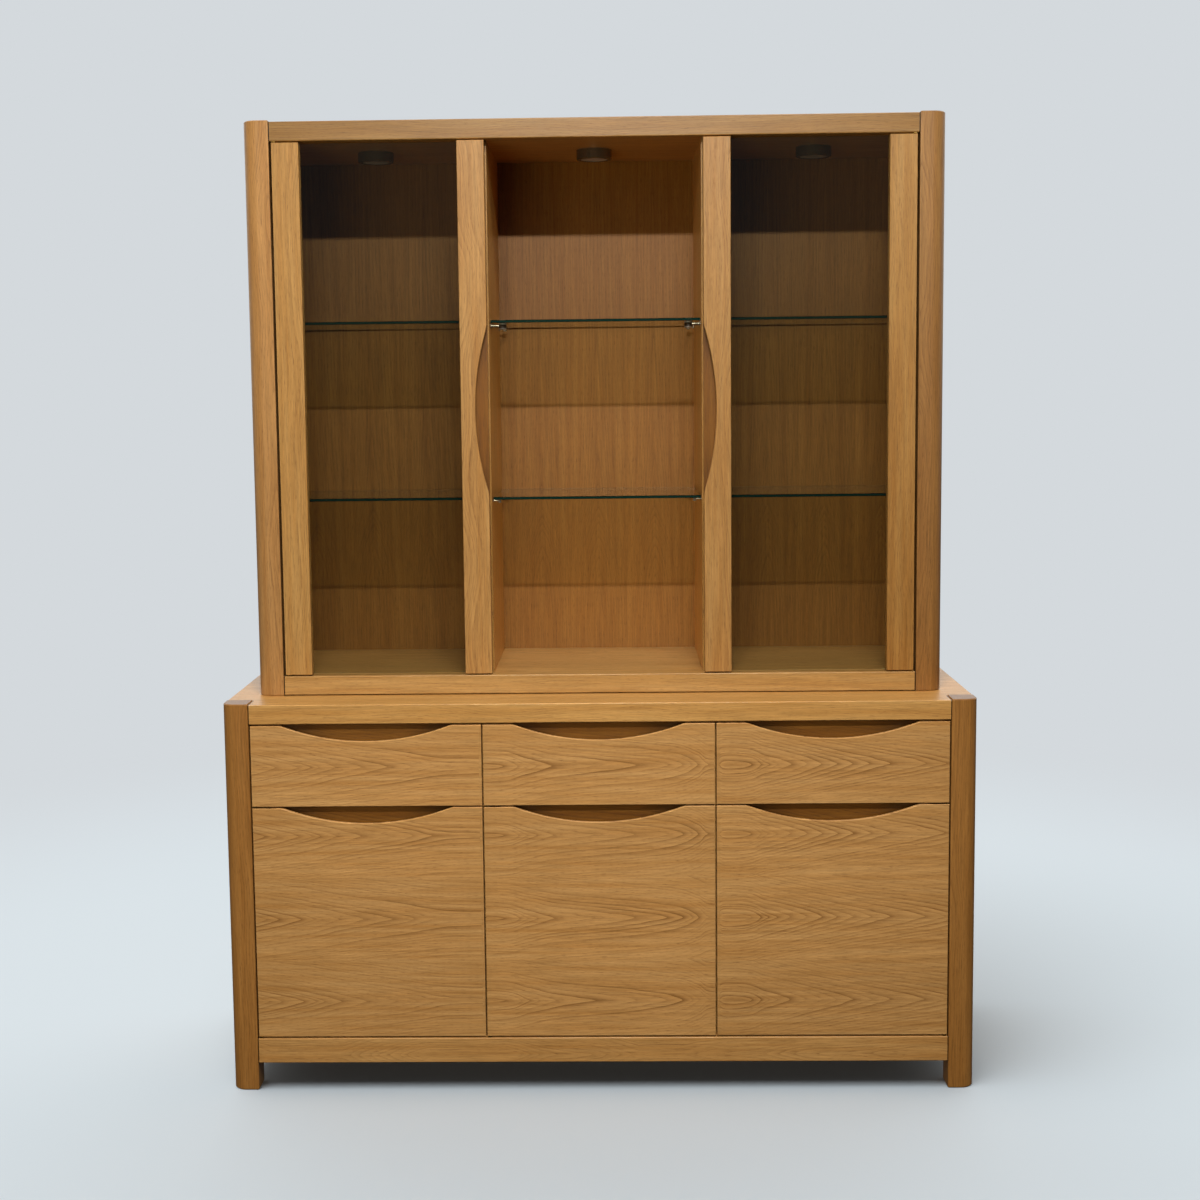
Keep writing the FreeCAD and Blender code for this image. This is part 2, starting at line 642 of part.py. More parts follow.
def hang(word, hinge_x, side, face_y, base, length, lower_seat, upper_leaf):
    """The hinges of one door: two plates in the door, and two leaves on the cabinet."""
    axis_x = "%s + pivot_inset" % hinge_x if side < 0 else "%s - pivot_inset" % hinge_x
    group(word + "_pivot_plates", [
        door_plate(hinge_x, side, face_y, base),
        door_plate(hinge_x, side, face_y, "%s + %s - plate_thickness" % (base, length))])
    return [fixed_leaf(axis_x, face_y, lower_seat, True),
            fixed_leaf(axis_x, face_y, upper_leaf, False)]


# Doors

def make_cupboard_doors():
    leaves = []
    for step, word, side in ((-1, "left", -1), (0, "middle", -1), (1, "right", 1)):
        label = "cupboard_door_" + word
        left_x = "%d * (front_width + fronts_gap) - front_width / 2" % step
        body = pull_board(label, "front_width", "door_height", "front_thickness", "front")
        pivot_cuts(body, "door_height", side > 0, "front_width")
        place(body, left_x, "front", "door_base")
        hinge_x = "(%s)" % left_x if side < 0 else "(%s + front_width)" % left_x
        leaves += hang(label, hinge_x, side, "front", "door_base", "door_height", "sill",
                       "(rail_top + leaf_thickness)")
    return leaves


def make_glass_doors():
    leaves = []
    for word, sign, side in sides():
        label = "glass_door_" + word
        hinge_stile = new_body(label + "_hinge_stile")
        pad(hinge_stile, rectangle(hinge_stile, "XY_Plane", ("0", "0"),
                                   ("stile_width", "stile_thickness")), "stile_length")
        ease_face(hinge_stile)
        slot = rectangle(hinge_stile, "YZ_Plane", ("glass_setback", "0"),
                         ("glass_setback + glass_thickness", "stile_length"),
                         "stile_width" if side < 0 else "0")
        pocket(hinge_stile, slot, "glass_groove", backwards=side > 0)
        pivot_cuts(hinge_stile, "stile_length", side > 0, "stile_width")
        place(hinge_stile, outward(sign, "glass_door_hinge - stile_width", "glass_door_hinge")[0],
              "hutch_front", "glass_door_base")

        handle_stile = pull_board(label + "_handle_stile", "stile_length", "stile_width",
                                  "stile_thickness", "stile")
        slot = rectangle(handle_stile, "XY_Plane", ("0", "glass_setback"),
                         ("stile_length", "glass_setback + glass_thickness"))
        pocket(handle_stile, slot, "glass_groove", backwards=True)
        quarter = 90 if side < 0 else -90
        handle_stile.Placement = FreeCAD.Placement(
            Vector(0, 0, 0), FreeCAD.Rotation(Vector(0, 1, 0), quarter))
        inner_x = sign + "(glass_door_free + stile_width)"
        place(handle_stile, inner_x, "hutch_front",
              "glass_door_base + stile_length" if side < 0 else "glass_door_base")

        low, high = outward(sign, "glass_door_free + stile_width - glass_groove",
                            "glass_door_hinge - stile_width + glass_groove")
        keep(block("Glass", (low, "hutch_front + glass_setback", "glass_door_base + glass_end_gap"),
                   (high, "hutch_front + glass_setback + glass_thickness",
                    "glass_door_base + stile_length - glass_end_gap")), label + "_glass")
        leaves += hang(label, sign + "glass_door_hinge", side, "hutch_front", "glass_door_base",
                       "stile_length", "hutch_floor", "hutch_ceiling")
    return leaves


# Drawers

def drawer_side(left_wall, right_wall, side):
    """A drawer side with a groove for its runner outside and one for the bottom inside."""
    body = doc.addObject("PartDesign::Body", "DrawerSide")

    def inward(text):
        return text if side < 0 else "drawer_side_thickness - (%s)" % text

    slot_low = "runner_lift - runner_play"
    slot_high = "runner_lift + runner_height + runner_play"
    floor_low = "drawer_bottom_lift"
    floor_high = "drawer_bottom_lift + drawer_bottom_thickness"
    groove = "drawer_side_thickness - drawer_groove"
    profile = [("0", "0"), ("drawer_side_thickness", "0"), ("drawer_side_thickness", floor_low),
               (groove, floor_low), (groove, floor_high), ("drawer_side_thickness", floor_high),
               ("drawer_side_thickness", "drawer_box_height"), ("0", "drawer_box_height"),
               ("0", slot_high), ("runner_slot", slot_high), ("runner_slot", slot_low),
               ("0", slot_low)]
    outline = polygon(body, "XZ_Plane", [(inward(across), up) for across, up in profile])
    pad(body, outline, "drawer_box_depth", backwards=True)
    outer_x = "%s + runner_gap" % left_wall
    if side > 0:
        outer_x = "%s - runner_gap - drawer_side_thickness" % right_wall
    place(body, outer_x, "front + front_thickness", "box_base")
    return body


def make_drawers():
    """Three drawers, and the battens on the walls of their bays that they slide on."""
    runners = []
    bays = ((-1, "left", "-post_inner", "-partition_far"),
            (0, "middle", "-partition_near", "partition_near"),
            (1, "right", "partition_far", "post_inner"))
    for step, word, left_wall, right_wall in bays:
        name = "drawer_" + word
        face = pull_board(name + "_front", "front_width", "drawer_front_height",
                          "front_thickness", "front")
        place(face, "%d * (front_width + fronts_gap) - front_width / 2" % step, "front",
              "drawer_base")
        group(name + "_sides", [drawer_side(left_wall, right_wall, side) for side in (-1, 1)])

        inner_left = "%s + runner_gap + drawer_side_thickness" % left_wall
        inner_right = "%s - runner_gap - drawer_side_thickness" % right_wall
        floor = "box_base + drawer_bottom_lift"
        starts = ("front + front_thickness",
                  "front + front_thickness + drawer_box_depth - drawer_side_thickness")
        group(name + "_ends", [
            block("End", (inner_left, start, floor + " + drawer_bottom_thickness"),
                  (inner_right, start + " + drawer_side_thickness", "box_base + drawer_box_height"))
            for start in starts])
        keep(block("Bottom", (inner_left + " - drawer_groove", starts[0], floor),
                   (inner_right + " + drawer_groove", starts[0] + " + drawer_box_depth",
                    floor + " + drawer_bottom_thickness")), name + "_bottom")

        for low, high in ((left_wall, left_wall + " + runner_gap + runner_reach"),
                          (right_wall + " - runner_gap - runner_reach", right_wall)):
            runners.append(block("Runner", (low, "rail_front", "runner_base"),
                                 (high, "back_face", "runner_base + runner_height")))
    group("drawer_runners", runners)


# Shelves

def clip(wall, side, along, under):
    """An angle of sheet metal: a tab on the wall and a tongue under the shelf."""
    body = doc.addObject("PartDesign::Body", "Clip")

    def inward(text):
        return text if side < 0 else "-(%s)" % text

    profile = (("0", "0"), ("0", "-clip_drop"), ("clip_metal", "-clip_drop"),
               ("clip_metal", "-clip_metal"), ("clip_reach", "-clip_metal"), ("clip_reach", "0"))
    outline = polygon(body, "XZ_Plane", [(inward(across), up) for across, up in profile])
    pad(body, outline, "clip_width", backwards=True)
    place(body, wall, "%s - clip_width / 2" % along, under)
    return body


def make_cupboard_shelves():
    """A shelf in each cupboard, notched round the rear posts, on four clips."""
    shelves = []
    clips = []
    back = "shelf_front + shelf_depth"
    notch = "rear_post_front - shelf_play"
    bays = (("left", "-side_inner", "-partition_far", "-post_inner"),
            ("middle", "-partition_near", "partition_near", ""),
            ("right", "partition_far", "side_inner", "post_inner"))
    for word, left_wall, right_wall, post_face in bays:
        low, high = left_wall + " + shelf_play", right_wall + " - shelf_play"
        corners = [(low, "shelf_front"), (high, "shelf_front"), (high, back), (low, back)]
        if word == "left":
            corners[3:] = [(post_face + " + shelf_play", back),
                           (post_face + " + shelf_play", notch), (low, notch)]
        if word == "right":
            corners[2:3] = [(high, notch), (post_face + " - shelf_play", notch),
                            (post_face + " - shelf_play", back)]
        shelf = doc.addObject("PartDesign::Body", "Shelf")
        pad(shelf, polygon(shelf, "XY_Plane", corners), "shelf_thickness")
        place(shelf, "0", "0", "shelf_base")
        shelves.append(shelf)
        for along in ("shelf_front + clip_inset", back + " - clip_inset"):
            clips.append(clip(left_wall, -1, along, "shelf_base"))
            clips.append(clip(right_wall, 1, along, "shelf_base"))
    group("cupboard_shelves", shelves)
    group("cupboard_shelf_clips", clips)


def holder(wall, side, along, under):
    """An arm out from the wall, and at its end an upright eight-sided barrel under the glass."""
    body = doc.addObject("PartDesign::Body", "Holder")

    def inward(text):
        return text if side < 0 else "-(%s)" % text

    middle, flat = "holder_reach - holder_radius", "holder_radius * holder_flat_share"
    corners = (("holder_radius", flat), (flat, "holder_radius"), ("-" + flat, "holder_radius"),
               ("-holder_radius", flat), ("-holder_radius", "-" + flat),
               ("-" + flat, "-holder_radius"), (flat, "-holder_radius"),
               ("holder_radius", "-" + flat))
    barrel = polygon(body, "XY_Plane", [
        (inward("%s + (%s)" % (middle, across)), deep) for across, deep in corners])
    pad(body, barrel, "holder_height", backwards=True)
    arm = rectangle(body, "XY_Plane", ("0", "-holder_arm / 2"), (inward(middle), "holder_arm / 2"),
                    "(holder_arm - holder_height) / 2")
    pad(body, arm, "holder_arm", backwards=True)
    place(body, wall, along, under)
    return body


def make_glass_shelves():
    """Two panes of glass in each bay of the hutch, each on four holders."""
    holders = []
    bays = (("left", "-hutch_side_inner", "-partition_outer"), ("middle", "-bay_half", "bay_half"),
            ("right", "partition_outer", "hutch_side_inner"))
    for word, left_wall, right_wall in bays:
        panes = []
        for number in (1, 2):
            under = "hutch_floor + %d * tier + %d * pane_thickness" % (number, number - 1)
            body = doc.addObject("PartDesign::Body", "Pane")
            width = "(%s) - (%s) - 2 * pane_play" % (right_wall, left_wall)
            pad(body, rectangle(body, "XY_Plane", ("0", "0"), (width, "pane_depth")),
                "pane_thickness")
            ease(body, "pane_edge", lambda box: near(box.YMax, 0) and near(box.ZLength, 0),
                 kind="Chamfer")
            place(body, left_wall + " + pane_play", "pane_front", under)
            panes.append(body)
            for along in ("pane_front + holder_inset", "pane_front + pane_depth - holder_inset"):
                holders.append(holder(left_wall, -1, along, under))
                holders.append(holder(right_wall, 1, along, under))
        group("glass_shelves_" + word, panes)
    group("glass_shelf_holders", holders)


# Lights

def make_lights():
    """A puck light under the hutch top in the middle of each bay."""
    housings = []
    lenses = []
    for x in ("-side_bay_middle", "0", "side_bay_middle"):
        housing = doc.addObject("PartDesign::Body", "PuckLight")
        lens_top = "lens_recess + lens_thickness - light_height"
        profile = polygon(housing, "XZ_Plane", (
            ("0", "0"), ("0", lens_top), ("lens_radius", lens_top),
            ("lens_radius", "-light_height"), ("light_radius", "-light_height"),
            ("light_radius", "0")))
        turn = housing.newObject("PartDesign::Revolution", "Turn")
        turn.Profile = profile
        turn.ReferenceAxis = (profile, ["V_Axis"])
        doc.recompute()
        low = -size("light_height")
        wide = size("light_radius")
        ease(housing, "light_edge", lambda box: near(box.ZMax, low) and near(box.XMax, wide),
             kind="Chamfer")
        place(housing, x, "light_place", "hutch_ceiling")
        housings.append(housing)
        lenses.append(rod("Lens", x, "light_place", "hutch_ceiling - light_height + lens_recess",
                          "lens_radius", "lens_thickness"))
    group("puck_lights", housings)
    group("puck_light_lenses", lenses)


def check_everything():
    """Every object is up to date, and every piece is a valid solid or a group of them."""
    doc.recompute()
    for thing in doc.Objects:
        if "Invalid" in thing.State or "Error" in thing.State:
            raise ValueError("%s is %s" % (thing.Label, thing.State))
    for piece in pieces:
        shape = piece.Shape
        if shape.isNull() or not shape.isValid() or not shape.Solids:
            raise ValueError("%s has no valid solid" % piece.Label)


def export_pieces():
    os.makedirs("parts", exist_ok=True)
    for piece in pieces:
        piece.Shape.exportStep("parts/%s.step" % piece.Label)
        box = piece.Shape.BoundBox
        print("%-32s %2d solids  %6.1f x %6.1f x %6.1f" % (
            piece.Label, len(piece.Shape.Solids), box.XLength, box.YLength, box.ZLength))
    print(len(pieces), "pieces")


fill_sheets()
make_posts()
make_base()
make_hutch()
make_drawers()
make_cupboard_shelves()
make_glass_shelves()
make_lights()
group("pivot_leaves", make_cupboard_doors() + make_glass_doors())
check_everything()
export_pieces()
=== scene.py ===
# %% [markdown]
# # A display sideboard in lacquered oak
#
# The real piece is two pieces of furniture, one on the other. The base has three drawers over
# three doors, and the hutch stands back on its top, with a glass door on each side of an open bay.
# The joinery is already modelled as solids. This script dresses them: it grows the oak, clears
# the glass, plates the metal, adds the small fittings and sets up the studio.

# %% The solids, and the box that they fill
import json
import math

import bpy
from mathutils import Matrix, Vector


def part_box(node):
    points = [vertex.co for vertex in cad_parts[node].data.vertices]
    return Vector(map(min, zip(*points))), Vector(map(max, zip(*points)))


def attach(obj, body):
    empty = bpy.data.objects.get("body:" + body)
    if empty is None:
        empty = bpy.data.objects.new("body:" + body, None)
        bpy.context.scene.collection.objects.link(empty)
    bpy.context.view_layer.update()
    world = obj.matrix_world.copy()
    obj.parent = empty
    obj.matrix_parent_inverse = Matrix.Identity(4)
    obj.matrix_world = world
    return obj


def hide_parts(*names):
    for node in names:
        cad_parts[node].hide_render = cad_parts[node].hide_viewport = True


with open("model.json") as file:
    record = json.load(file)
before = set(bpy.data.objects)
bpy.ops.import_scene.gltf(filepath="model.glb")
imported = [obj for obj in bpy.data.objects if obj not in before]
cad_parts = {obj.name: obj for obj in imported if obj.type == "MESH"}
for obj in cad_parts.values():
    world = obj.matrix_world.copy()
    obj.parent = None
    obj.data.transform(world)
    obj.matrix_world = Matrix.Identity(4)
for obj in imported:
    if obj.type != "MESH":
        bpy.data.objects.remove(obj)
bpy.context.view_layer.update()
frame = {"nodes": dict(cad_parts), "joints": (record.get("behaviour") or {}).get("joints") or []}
nodes = frame["nodes"]
scene = bpy.context.scene


def middle(node):
    """The middle of a solid's box, in metres."""
    return [(low + high) / 2 for low, high in zip(*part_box(node))]


def in_millimetres(node):
    """The lowest and the highest corner of a solid."""
    return [[1000 * place for place in corner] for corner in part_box(node)]


# %% [markdown]
# ## The camera
#
# Where a photograph was taken from can be worked out from the edges in it. Here the camera stood
# 3.4 m in front of the doors, at a height of 1.45 m, and looked a little down and to the left.
# The picture was cropped after it was taken, so the middle of the lens isn't the middle of the
# frame. A small shift does the same. Depth of field stays off: all of the oak is sharp.

# %% The camera
FOCAL_PIXELS, FRAME_PIXELS = 1700, 1200
LENS_MIDDLE = (578.0, 566.4)
CAMERA_PLACE = Vector((0.0323, -3.678, 1.4456))
YAW, PITCH, ROLL = 0.0206, -0.1008, -0.0113

level_right = Vector((math.cos(YAW), math.sin(YAW), 0))
level_ahead = Vector((-math.sin(YAW), math.cos(YAW), 0))
plumb = Vector((0, 0, 1))
ahead = level_ahead * math.cos(PITCH) + plumb * math.sin(PITCH)
upward = plumb * math.cos(PITCH) - level_ahead * math.sin(PITCH)
camera_x = level_right * math.cos(ROLL) + upward * math.sin(ROLL)
camera_y = upward * math.cos(ROLL) - level_right * math.sin(ROLL)

lens = bpy.data.cameras.new("camera")
lens.sensor_width = 36
lens.lens = lens.sensor_width * FOCAL_PIXELS / FRAME_PIXELS
lens.shift_x = 0.5 - LENS_MIDDLE[0] / FRAME_PIXELS
lens.shift_y = LENS_MIDDLE[1] / FRAME_PIXELS - 0.5
camera = bpy.data.objects.new("camera", lens)
aim = Matrix((camera_x, camera_y, -ahead)).transposed().to_4x4()
camera.matrix_world = Matrix.Translation(CAMERA_PLACE) @ aim
scene.collection.objects.link(camera)
scene.camera = camera
print("lens", round(lens.lens, 1), "mm, shift", round(lens.shift_x, 4), round(lens.shift_y, 4))

# %% [markdown]
# ## Colour and nodes
#
# Paint charts and photographs give colours as sRGB hex, but light adds up in linear numbers, and
# that is what Blender's sockets take. One function turns the first into the second. A second one
# adds a node, sets it up and plugs in what it needs, so that each pattern reads as one list. A
# third one starts a material.

# %% Helpers for every material
def linear(hex_colour):
    """The four linear numbers of an sRGB hex colour."""
    channels = [int(hex_colour[k:k + 2], 16) / 255 for k in (1, 3, 5)]
    return [c / 12.92 if c <= 0.04045 else ((c + 0.055) / 1.055) ** 2.4 for c in channels] + [1]


def add(tree, kind, inputs={}, **settings):
    """Add a node with its settings; an input may be a number, a socket, or another node.

    A kind without the word Node in it is a shader node's.
    """
    node = tree.nodes.new(kind if "Node" in kind else "ShaderNode" + kind)
    for name, value in settings.items():
        setattr(node, name, value)
    for name, value in inputs.items():
        if isinstance(value, bpy.types.Node):
            value = value.outputs[0]
        if isinstance(value, bpy.types.NodeSocket):
            tree.links.new(value, node.inputs[name])
        else:
            node.inputs[name].default_value = value
    return node


def new_material(name):
    """A material, and its node tree with nothing in it yet."""
    material = bpy.data.materials.new(name)
    material.use_nodes = True
    material.node_tree.nodes.clear()
    return material, material.node_tree


print("warm oak", [round(c, 3) for c in linear("#BA8C54")])

# %% [markdown]
# ## The studio
#
# The photograph has a plain pale ground with no edge between floor and wall, so the floor is one
# wide sheet that fades into the tone of the world behind it. A long thin lamp, high in front,
# throws the edge of the hutch's top and of each glass shelf onto the back panel, and a second
# one, higher and nearer, lights what faces up. Soft boxes fill in from the front and from both
# sides. The wall behind the cabinet glows, and lacquer that is seen at a low angle mirrors it:
# that is part of why the base's top looks so pale, and the rest is painted light, as its upper
# face is painted paler. The room in front is dim, so the door glass stays clear. A lamp can be
# told what it lights: the floor, the base and the three small cans under the hutch's top each
# have one of their own. Only a look that is straight, or goes straight on through glass,
# meets the pale ground: light that has bounced meets the dim room instead, or the floor's glare
# would turn the oak blue from below. The sky counts itself as one bounce, so a straight look has
# a depth of one there.

# %% The floor
PALE = "#D4D9DD"
HALF_FLOOR, FADE_START, FADE_END = 40, 1.6, 3.6
floor_corners = [(HALF_FLOOR * x, HALF_FLOOR * y, 0) for x, y in ((-1, -1), (1, -1), (1, 1), (-1, 1))]
floor_mesh = bpy.data.meshes.new("studio_floor")
floor_mesh.from_pydata(floor_corners, [], [(0, 1, 2, 3)])
floor = bpy.data.objects.new("studio_floor", floor_mesh)
scene.collection.objects.link(floor)

paper, tree = new_material("painted_studio_floor")
here = add(tree, "TexCoord").outputs["Object"]
far = add(tree, "VectorMath", {0: here}, operation="LENGTH").outputs["Value"]
faded = add(tree, "MapRange", {0: far, 1: FADE_START, 2: FADE_END}, interpolation_type="SMOOTHSTEP")
matt = add(tree, "BsdfDiffuse", {"Color": linear("#DBE1E6")})
glow = add(tree, "Emission", {"Color": linear(PALE)})
cove = add(tree, "MixShader", {0: faded, 1: matt, 2: glow})
ray = add(tree, "LightPath").outputs
bounced = add(tree, "Math", {0: ray["Ray Depth"], 1: ray["Transmission Depth"]}, operation="GREATER_THAN")
unseen = add(tree, "BsdfTransparent")
seen_floor = add(tree, "MixShader", {0: bounced, 1: cove, 2: unseen})
add(tree, "OutputMaterial", {"Surface": seen_floor})
floor_mesh.materials.append(paper)
print("floor", [round(v) for v in floor.dimensions])

# %% The sky
DIM_FLOOR, DIM_ROOM, LIT_WALL = 0.03, 0.11, 1.6
world = bpy.data.worlds.new("studio_sky")
scene.world = world
world.use_nodes = True
tree = world.node_tree
tree.nodes.clear()
way = add(tree, "TexCoord").outputs["Generated"]
toward = add(tree, "SeparateXYZ", {0: way}).outputs
overhead = add(tree, "MapRange", {0: toward[2], 1: -0.05, 2: 0.1})
behind = add(tree, "MapRange", {0: toward[1], 2: 0.8, 3: DIM_ROOM, 4: LIT_WALL})
strength = add(tree, "Math", {0: overhead, 1: behind}, operation="MULTIPLY")
strength = add(tree, "Math", {0: strength, 1: DIM_FLOOR}, operation="MAXIMUM")
sky = add(tree, "Background", {"Color": linear("#EBEBE8"), "Strength": strength})
backdrop = add(tree, "Background", {"Color": linear(PALE)})
ray = add(tree, "LightPath").outputs
looked = add(tree, "Math", {0: ray["Is Camera Ray"], 1: ray["Is Transmission Ray"]})
bounces = add(tree, "Math", {0: ray["Ray Depth"], 1: ray["Transmission Depth"]}, operation="SUBTRACT")
straight = add(tree, "Math", {0: bounces, 1: 1.5}, operation="LESS_THAN")
straight = add(tree, "Math", {0: straight, 1: looked}, operation="MULTIPLY")
both = add(tree, "MixShader", {0: straight, 1: sky, 2: backdrop})
add(tree, "OutputWorld", {"Surface": both})
scene.view_settings.view_transform = "Standard"
scene.view_settings.look = "None"
print("sky from", DIM_FLOOR, "to", LIT_WALL)

# %% The lamps
def lamp(name, kind, place, target, energy, colour, **settings):
    """A light at a place that looks at a target."""
    data = bpy.data.lights.new(name, kind)
    data.energy = energy
    data.color = linear(colour)[:3]
    for setting, value in settings.items():
        setattr(data, setting, value)
    thing = bpy.data.objects.new(name, data)
    thing.location = place
    thing.rotation_euler = (Vector(target) - Vector(place)).to_track_quat("-Z", "Y").to_euler()
    scene.collection.objects.link(thing)
    return thing


def flag(light, things, link_state):
    """Let a light shine on some things only (INCLUDE), or on all but those (EXCLUDE)."""
    chosen = bpy.data.collections.new("flag_of_" + light.name)
    for number, thing in enumerate(things):
        chosen.objects.link(thing)
        chosen.collection_objects[number].light_linking.link_state = link_state
    light.light_linking.receiver_collection = chosen


def softbox(name, place, target, watts, colour, size, only=(), mirrored=True, **settings):
    """A flat lamp that isn't seen through glass. It lights all but the floor, or only some things."""
    box = lamp(name, "AREA", place, target, watts, colour,
               shape="RECTANGLE", size=size[0], size_y=size[1], **settings)
    flag(box, only or [floor], "INCLUDE" if only else "EXCLUDE")
    box.visible_glossy = mirrored
    box.visible_transmission = False


softbox("key_lamp", (0.04, -2.85, 3.16), (0, 0, 0.3), 28.5, "#FFF8EC", (1.2, 0.06),
        spread=math.radians(100))
softbox("ceiling_lamp", (0.4, -2.0, 3.79), (0, -0.3, 0.5), 42, "#FFF6E8", (1.2, 0.1))
softbox("front_fill", (-1.5, -4.6, 1.0), (0, 0, 0.5), 46, "#FFF6EC", (2.0, 1.2), mirrored=False)
base_things = [thing for name, thing in nodes.items()
               if name.startswith(("base_", "cupboard_", "drawer_", "hutch_bottom"))]
softbox("base_softbox", (-0.6, -3.9, 1.7), (0, -0.25, 0.4), 30, "#FFF8EC", (1.6, 0.7),
        only=base_things, mirrored=False)
softbox("can_card", (-0.1, -1.7, 1.3), (0, 0.05, 1.95), 4, "#FFF4E4", (0.5, 0.5),
        only=[nodes["puck_lights"], nodes["puck_light_lenses"]])
for hand in (-1, 1):
    softbox("side_card", (4.2 * hand, 0.6, 1.9), (0.77 * hand, 0.1, 1.0), 20, "#FFF8EC", (2.2, 1.6),
            mirrored=False)
sun = lamp("floor_sun", "SUN", (-1.5, -1.5, 6), (0, 0, 0), 2.08, "#F7FDFF", angle=math.radians(45))
flag(sun, [floor], "INCLUDE")

# %% [markdown]
# ## How oak grows
#
# A tree adds a ring a year, and a board is a slice through those rings. If the slice misses the
# heart, the rings come out as arches, which joiners call cathedrals, and away from the arches the
# lines run straight. So the pattern isn't painted on. It is worked out from how far each point
# of the board lay from the heart of the tree, in millimetres. Oak is ring-porous: each ring
# starts with a row of open pores, which lacquer turns into dark dashes, and closes up towards
# its end. A perfect cone of rings would give round arches. Real trunks aren't round, and
# their arches run to a point, so the distance is measured with a power, here called the arch:
# 2 is a circle, and 1 a square on its corner. Rings bend too, so a slow noise moves them, a long
# way along the grain for each small step across it. One group holds it all for every board.

# %% The growth of oak, as a node group
oak = bpy.data.node_groups.new("oak_growth", "ShaderNodeTree")
numbers = ("Heart depth", "Ring width", "Arch", "Waver", "Seed", "Figure", "Tone", "Stain", "Dullness",
           "End grain")
for name in ("Place", *numbers, "Pale", "Warm", "Dark"):
    kind = "Vector" if name == "Place" else "Float" if name in numbers else "Color"
    oak.interface.new_socket(name, in_out="INPUT", socket_type="NodeSocket" + kind)
for name, kind in (("Colour", "Color"), ("Roughness", "Float"), ("Height", "Float")):
    oak.interface.new_socket(name, in_out="OUTPUT", socket_type="NodeSocket" + kind)
given = add(oak, "NodeGroupInput").outputs
axes = add(oak, "SeparateXYZ", {0: given["Place"]}).outputs
print("oak takes", [socket.name for socket in given][:-1])

# %% Its rings
def stretched_noise(along, across, detail=2.0):
    """Noise whose blotches are so many millimetres long and wide, in the oak group."""
    scaled = add(oak, "VectorMath", {0: given["Place"], 1: (1 / along, 1 / across, 1 / across)},
                 operation="MULTIPLY")
    return add(oak, "TexNoise", {"Vector": scaled, "W": given["Seed"], "Scale": 1.0,
                                 "Detail": detail}, noise_dimensions="4D").outputs[0]


def powered(distance):
    """The size of a distance, raised to the power of the arch."""
    size = add(oak, "Math", {0: distance}, operation="ABSOLUTE")
    return add(oak, "Math", {0: size, 1: given["Arch"]}, operation="POWER")


slow_bend = add(oak, "Math", {0: stretched_noise(240, 60), 1: -0.5})
quick_bend = add(oak, "Math", {0: stretched_noise(48, 15, 1.0), 1: -0.5})
bend = add(oak, "Math", {0: quick_bend, 1: 0.45, 2: slow_bend}, operation="MULTIPLY_ADD")
deep = add(oak, "Math", {0: axes[2], 1: given["Heart depth"]})
both_ways = add(oak, "Math", {0: powered(deep), 1: powered(axes[1])})
root = add(oak, "Math", {0: 1.0, 1: given["Arch"]}, operation="DIVIDE")
radius = add(oak, "Math", {0: both_ways, 1: root}, operation="POWER")
bent = add(oak, "Math", {0: bend, 1: given["Waver"], 2: radius}, operation="MULTIPLY_ADD")
years = add(oak, "Math", {0: bent, 1: given["Ring width"]}, operation="DIVIDE")
good_years = add(oak, "TexNoise", {"W": years, "Scale": 0.23, "Detail": 1.0}, noise_dimensions="1D")
age = add(oak, "Math", {0: good_years, 1: 3.0, 2: years}, operation="MULTIPLY_ADD")
year = add(oak, "Math", {0: age}, operation="FLOOR")
season = add(oak, "Math", {0: age}, operation="FRACT")
late = add(oak, "Math", {0: 1.0, 1: season}, operation="SUBTRACT")
spring = add(oak, "Math", {0: late, 1: 2.1}, operation="POWER")
which = add(oak, "Math", {0: given["Seed"], 1: 7.0, 2: year}, operation="MULTIPLY_ADD")
chance = add(oak, "TexWhiteNoise", {"W": which}, noise_dimensions="1D").outputs["Value"]
boldness = add(oak, "MapRange", {0: chance, 3: 0.2, 4: 1.0})
fading = add(oak, "MapRange", {0: stretched_noise(110, 16), 1: 0.36, 2: 0.62, 3: 0.6, 4: 1.0})
off_axis = add(oak, "Math", {0: axes[1]}, operation="ABSOLUTE")
flat_cut = add(oak, "MapRange", {0: off_axis, 1: 12.0, 2: 62.0, 3: 1.15, 4: 0.5},
               interpolation_type="SMOOTHSTEP")
line = spring
for share in (boldness, fading, flat_cut):
    line = add(oak, "Math", {0: line, 1: share}, operation="MULTIPLY")
print("rings from", len(oak.nodes), "nodes")

# %% Its fibres and pores
# Real fibres are 0.02 mm wide and pores 0.3 mm. From where the camera stands one pixel covers
# 2 mm, so there are three sizes of streak, and the pores are drawn 0.8 mm wide so that they show.
broad = add(oak, "MapRange", {0: stretched_noise(300, 11), 1: 0.3, 2: 0.7})
medium = add(oak, "MapRange", {0: stretched_noise(80, 3.2), 1: 0.3, 2: 0.7, 3: -1.0, 4: 1.0})
fine = add(oak, "MapRange", {0: stretched_noise(55, 1.5), 1: 0.3, 2: 0.7, 3: -1.0, 4: 1.0})
dashes = add(oak, "MapRange", {0: stretched_noise(14, 0.8, 1.0), 1: 0.55, 2: 0.66})
in_rows = add(oak, "MapRange", {0: spring, 3: 0.35, 4: 1.0})
pores = add(oak, "Math", {0: dashes, 1: in_rows}, operation="MULTIPLY")
print("oak group has", len(oak.nodes), "nodes")

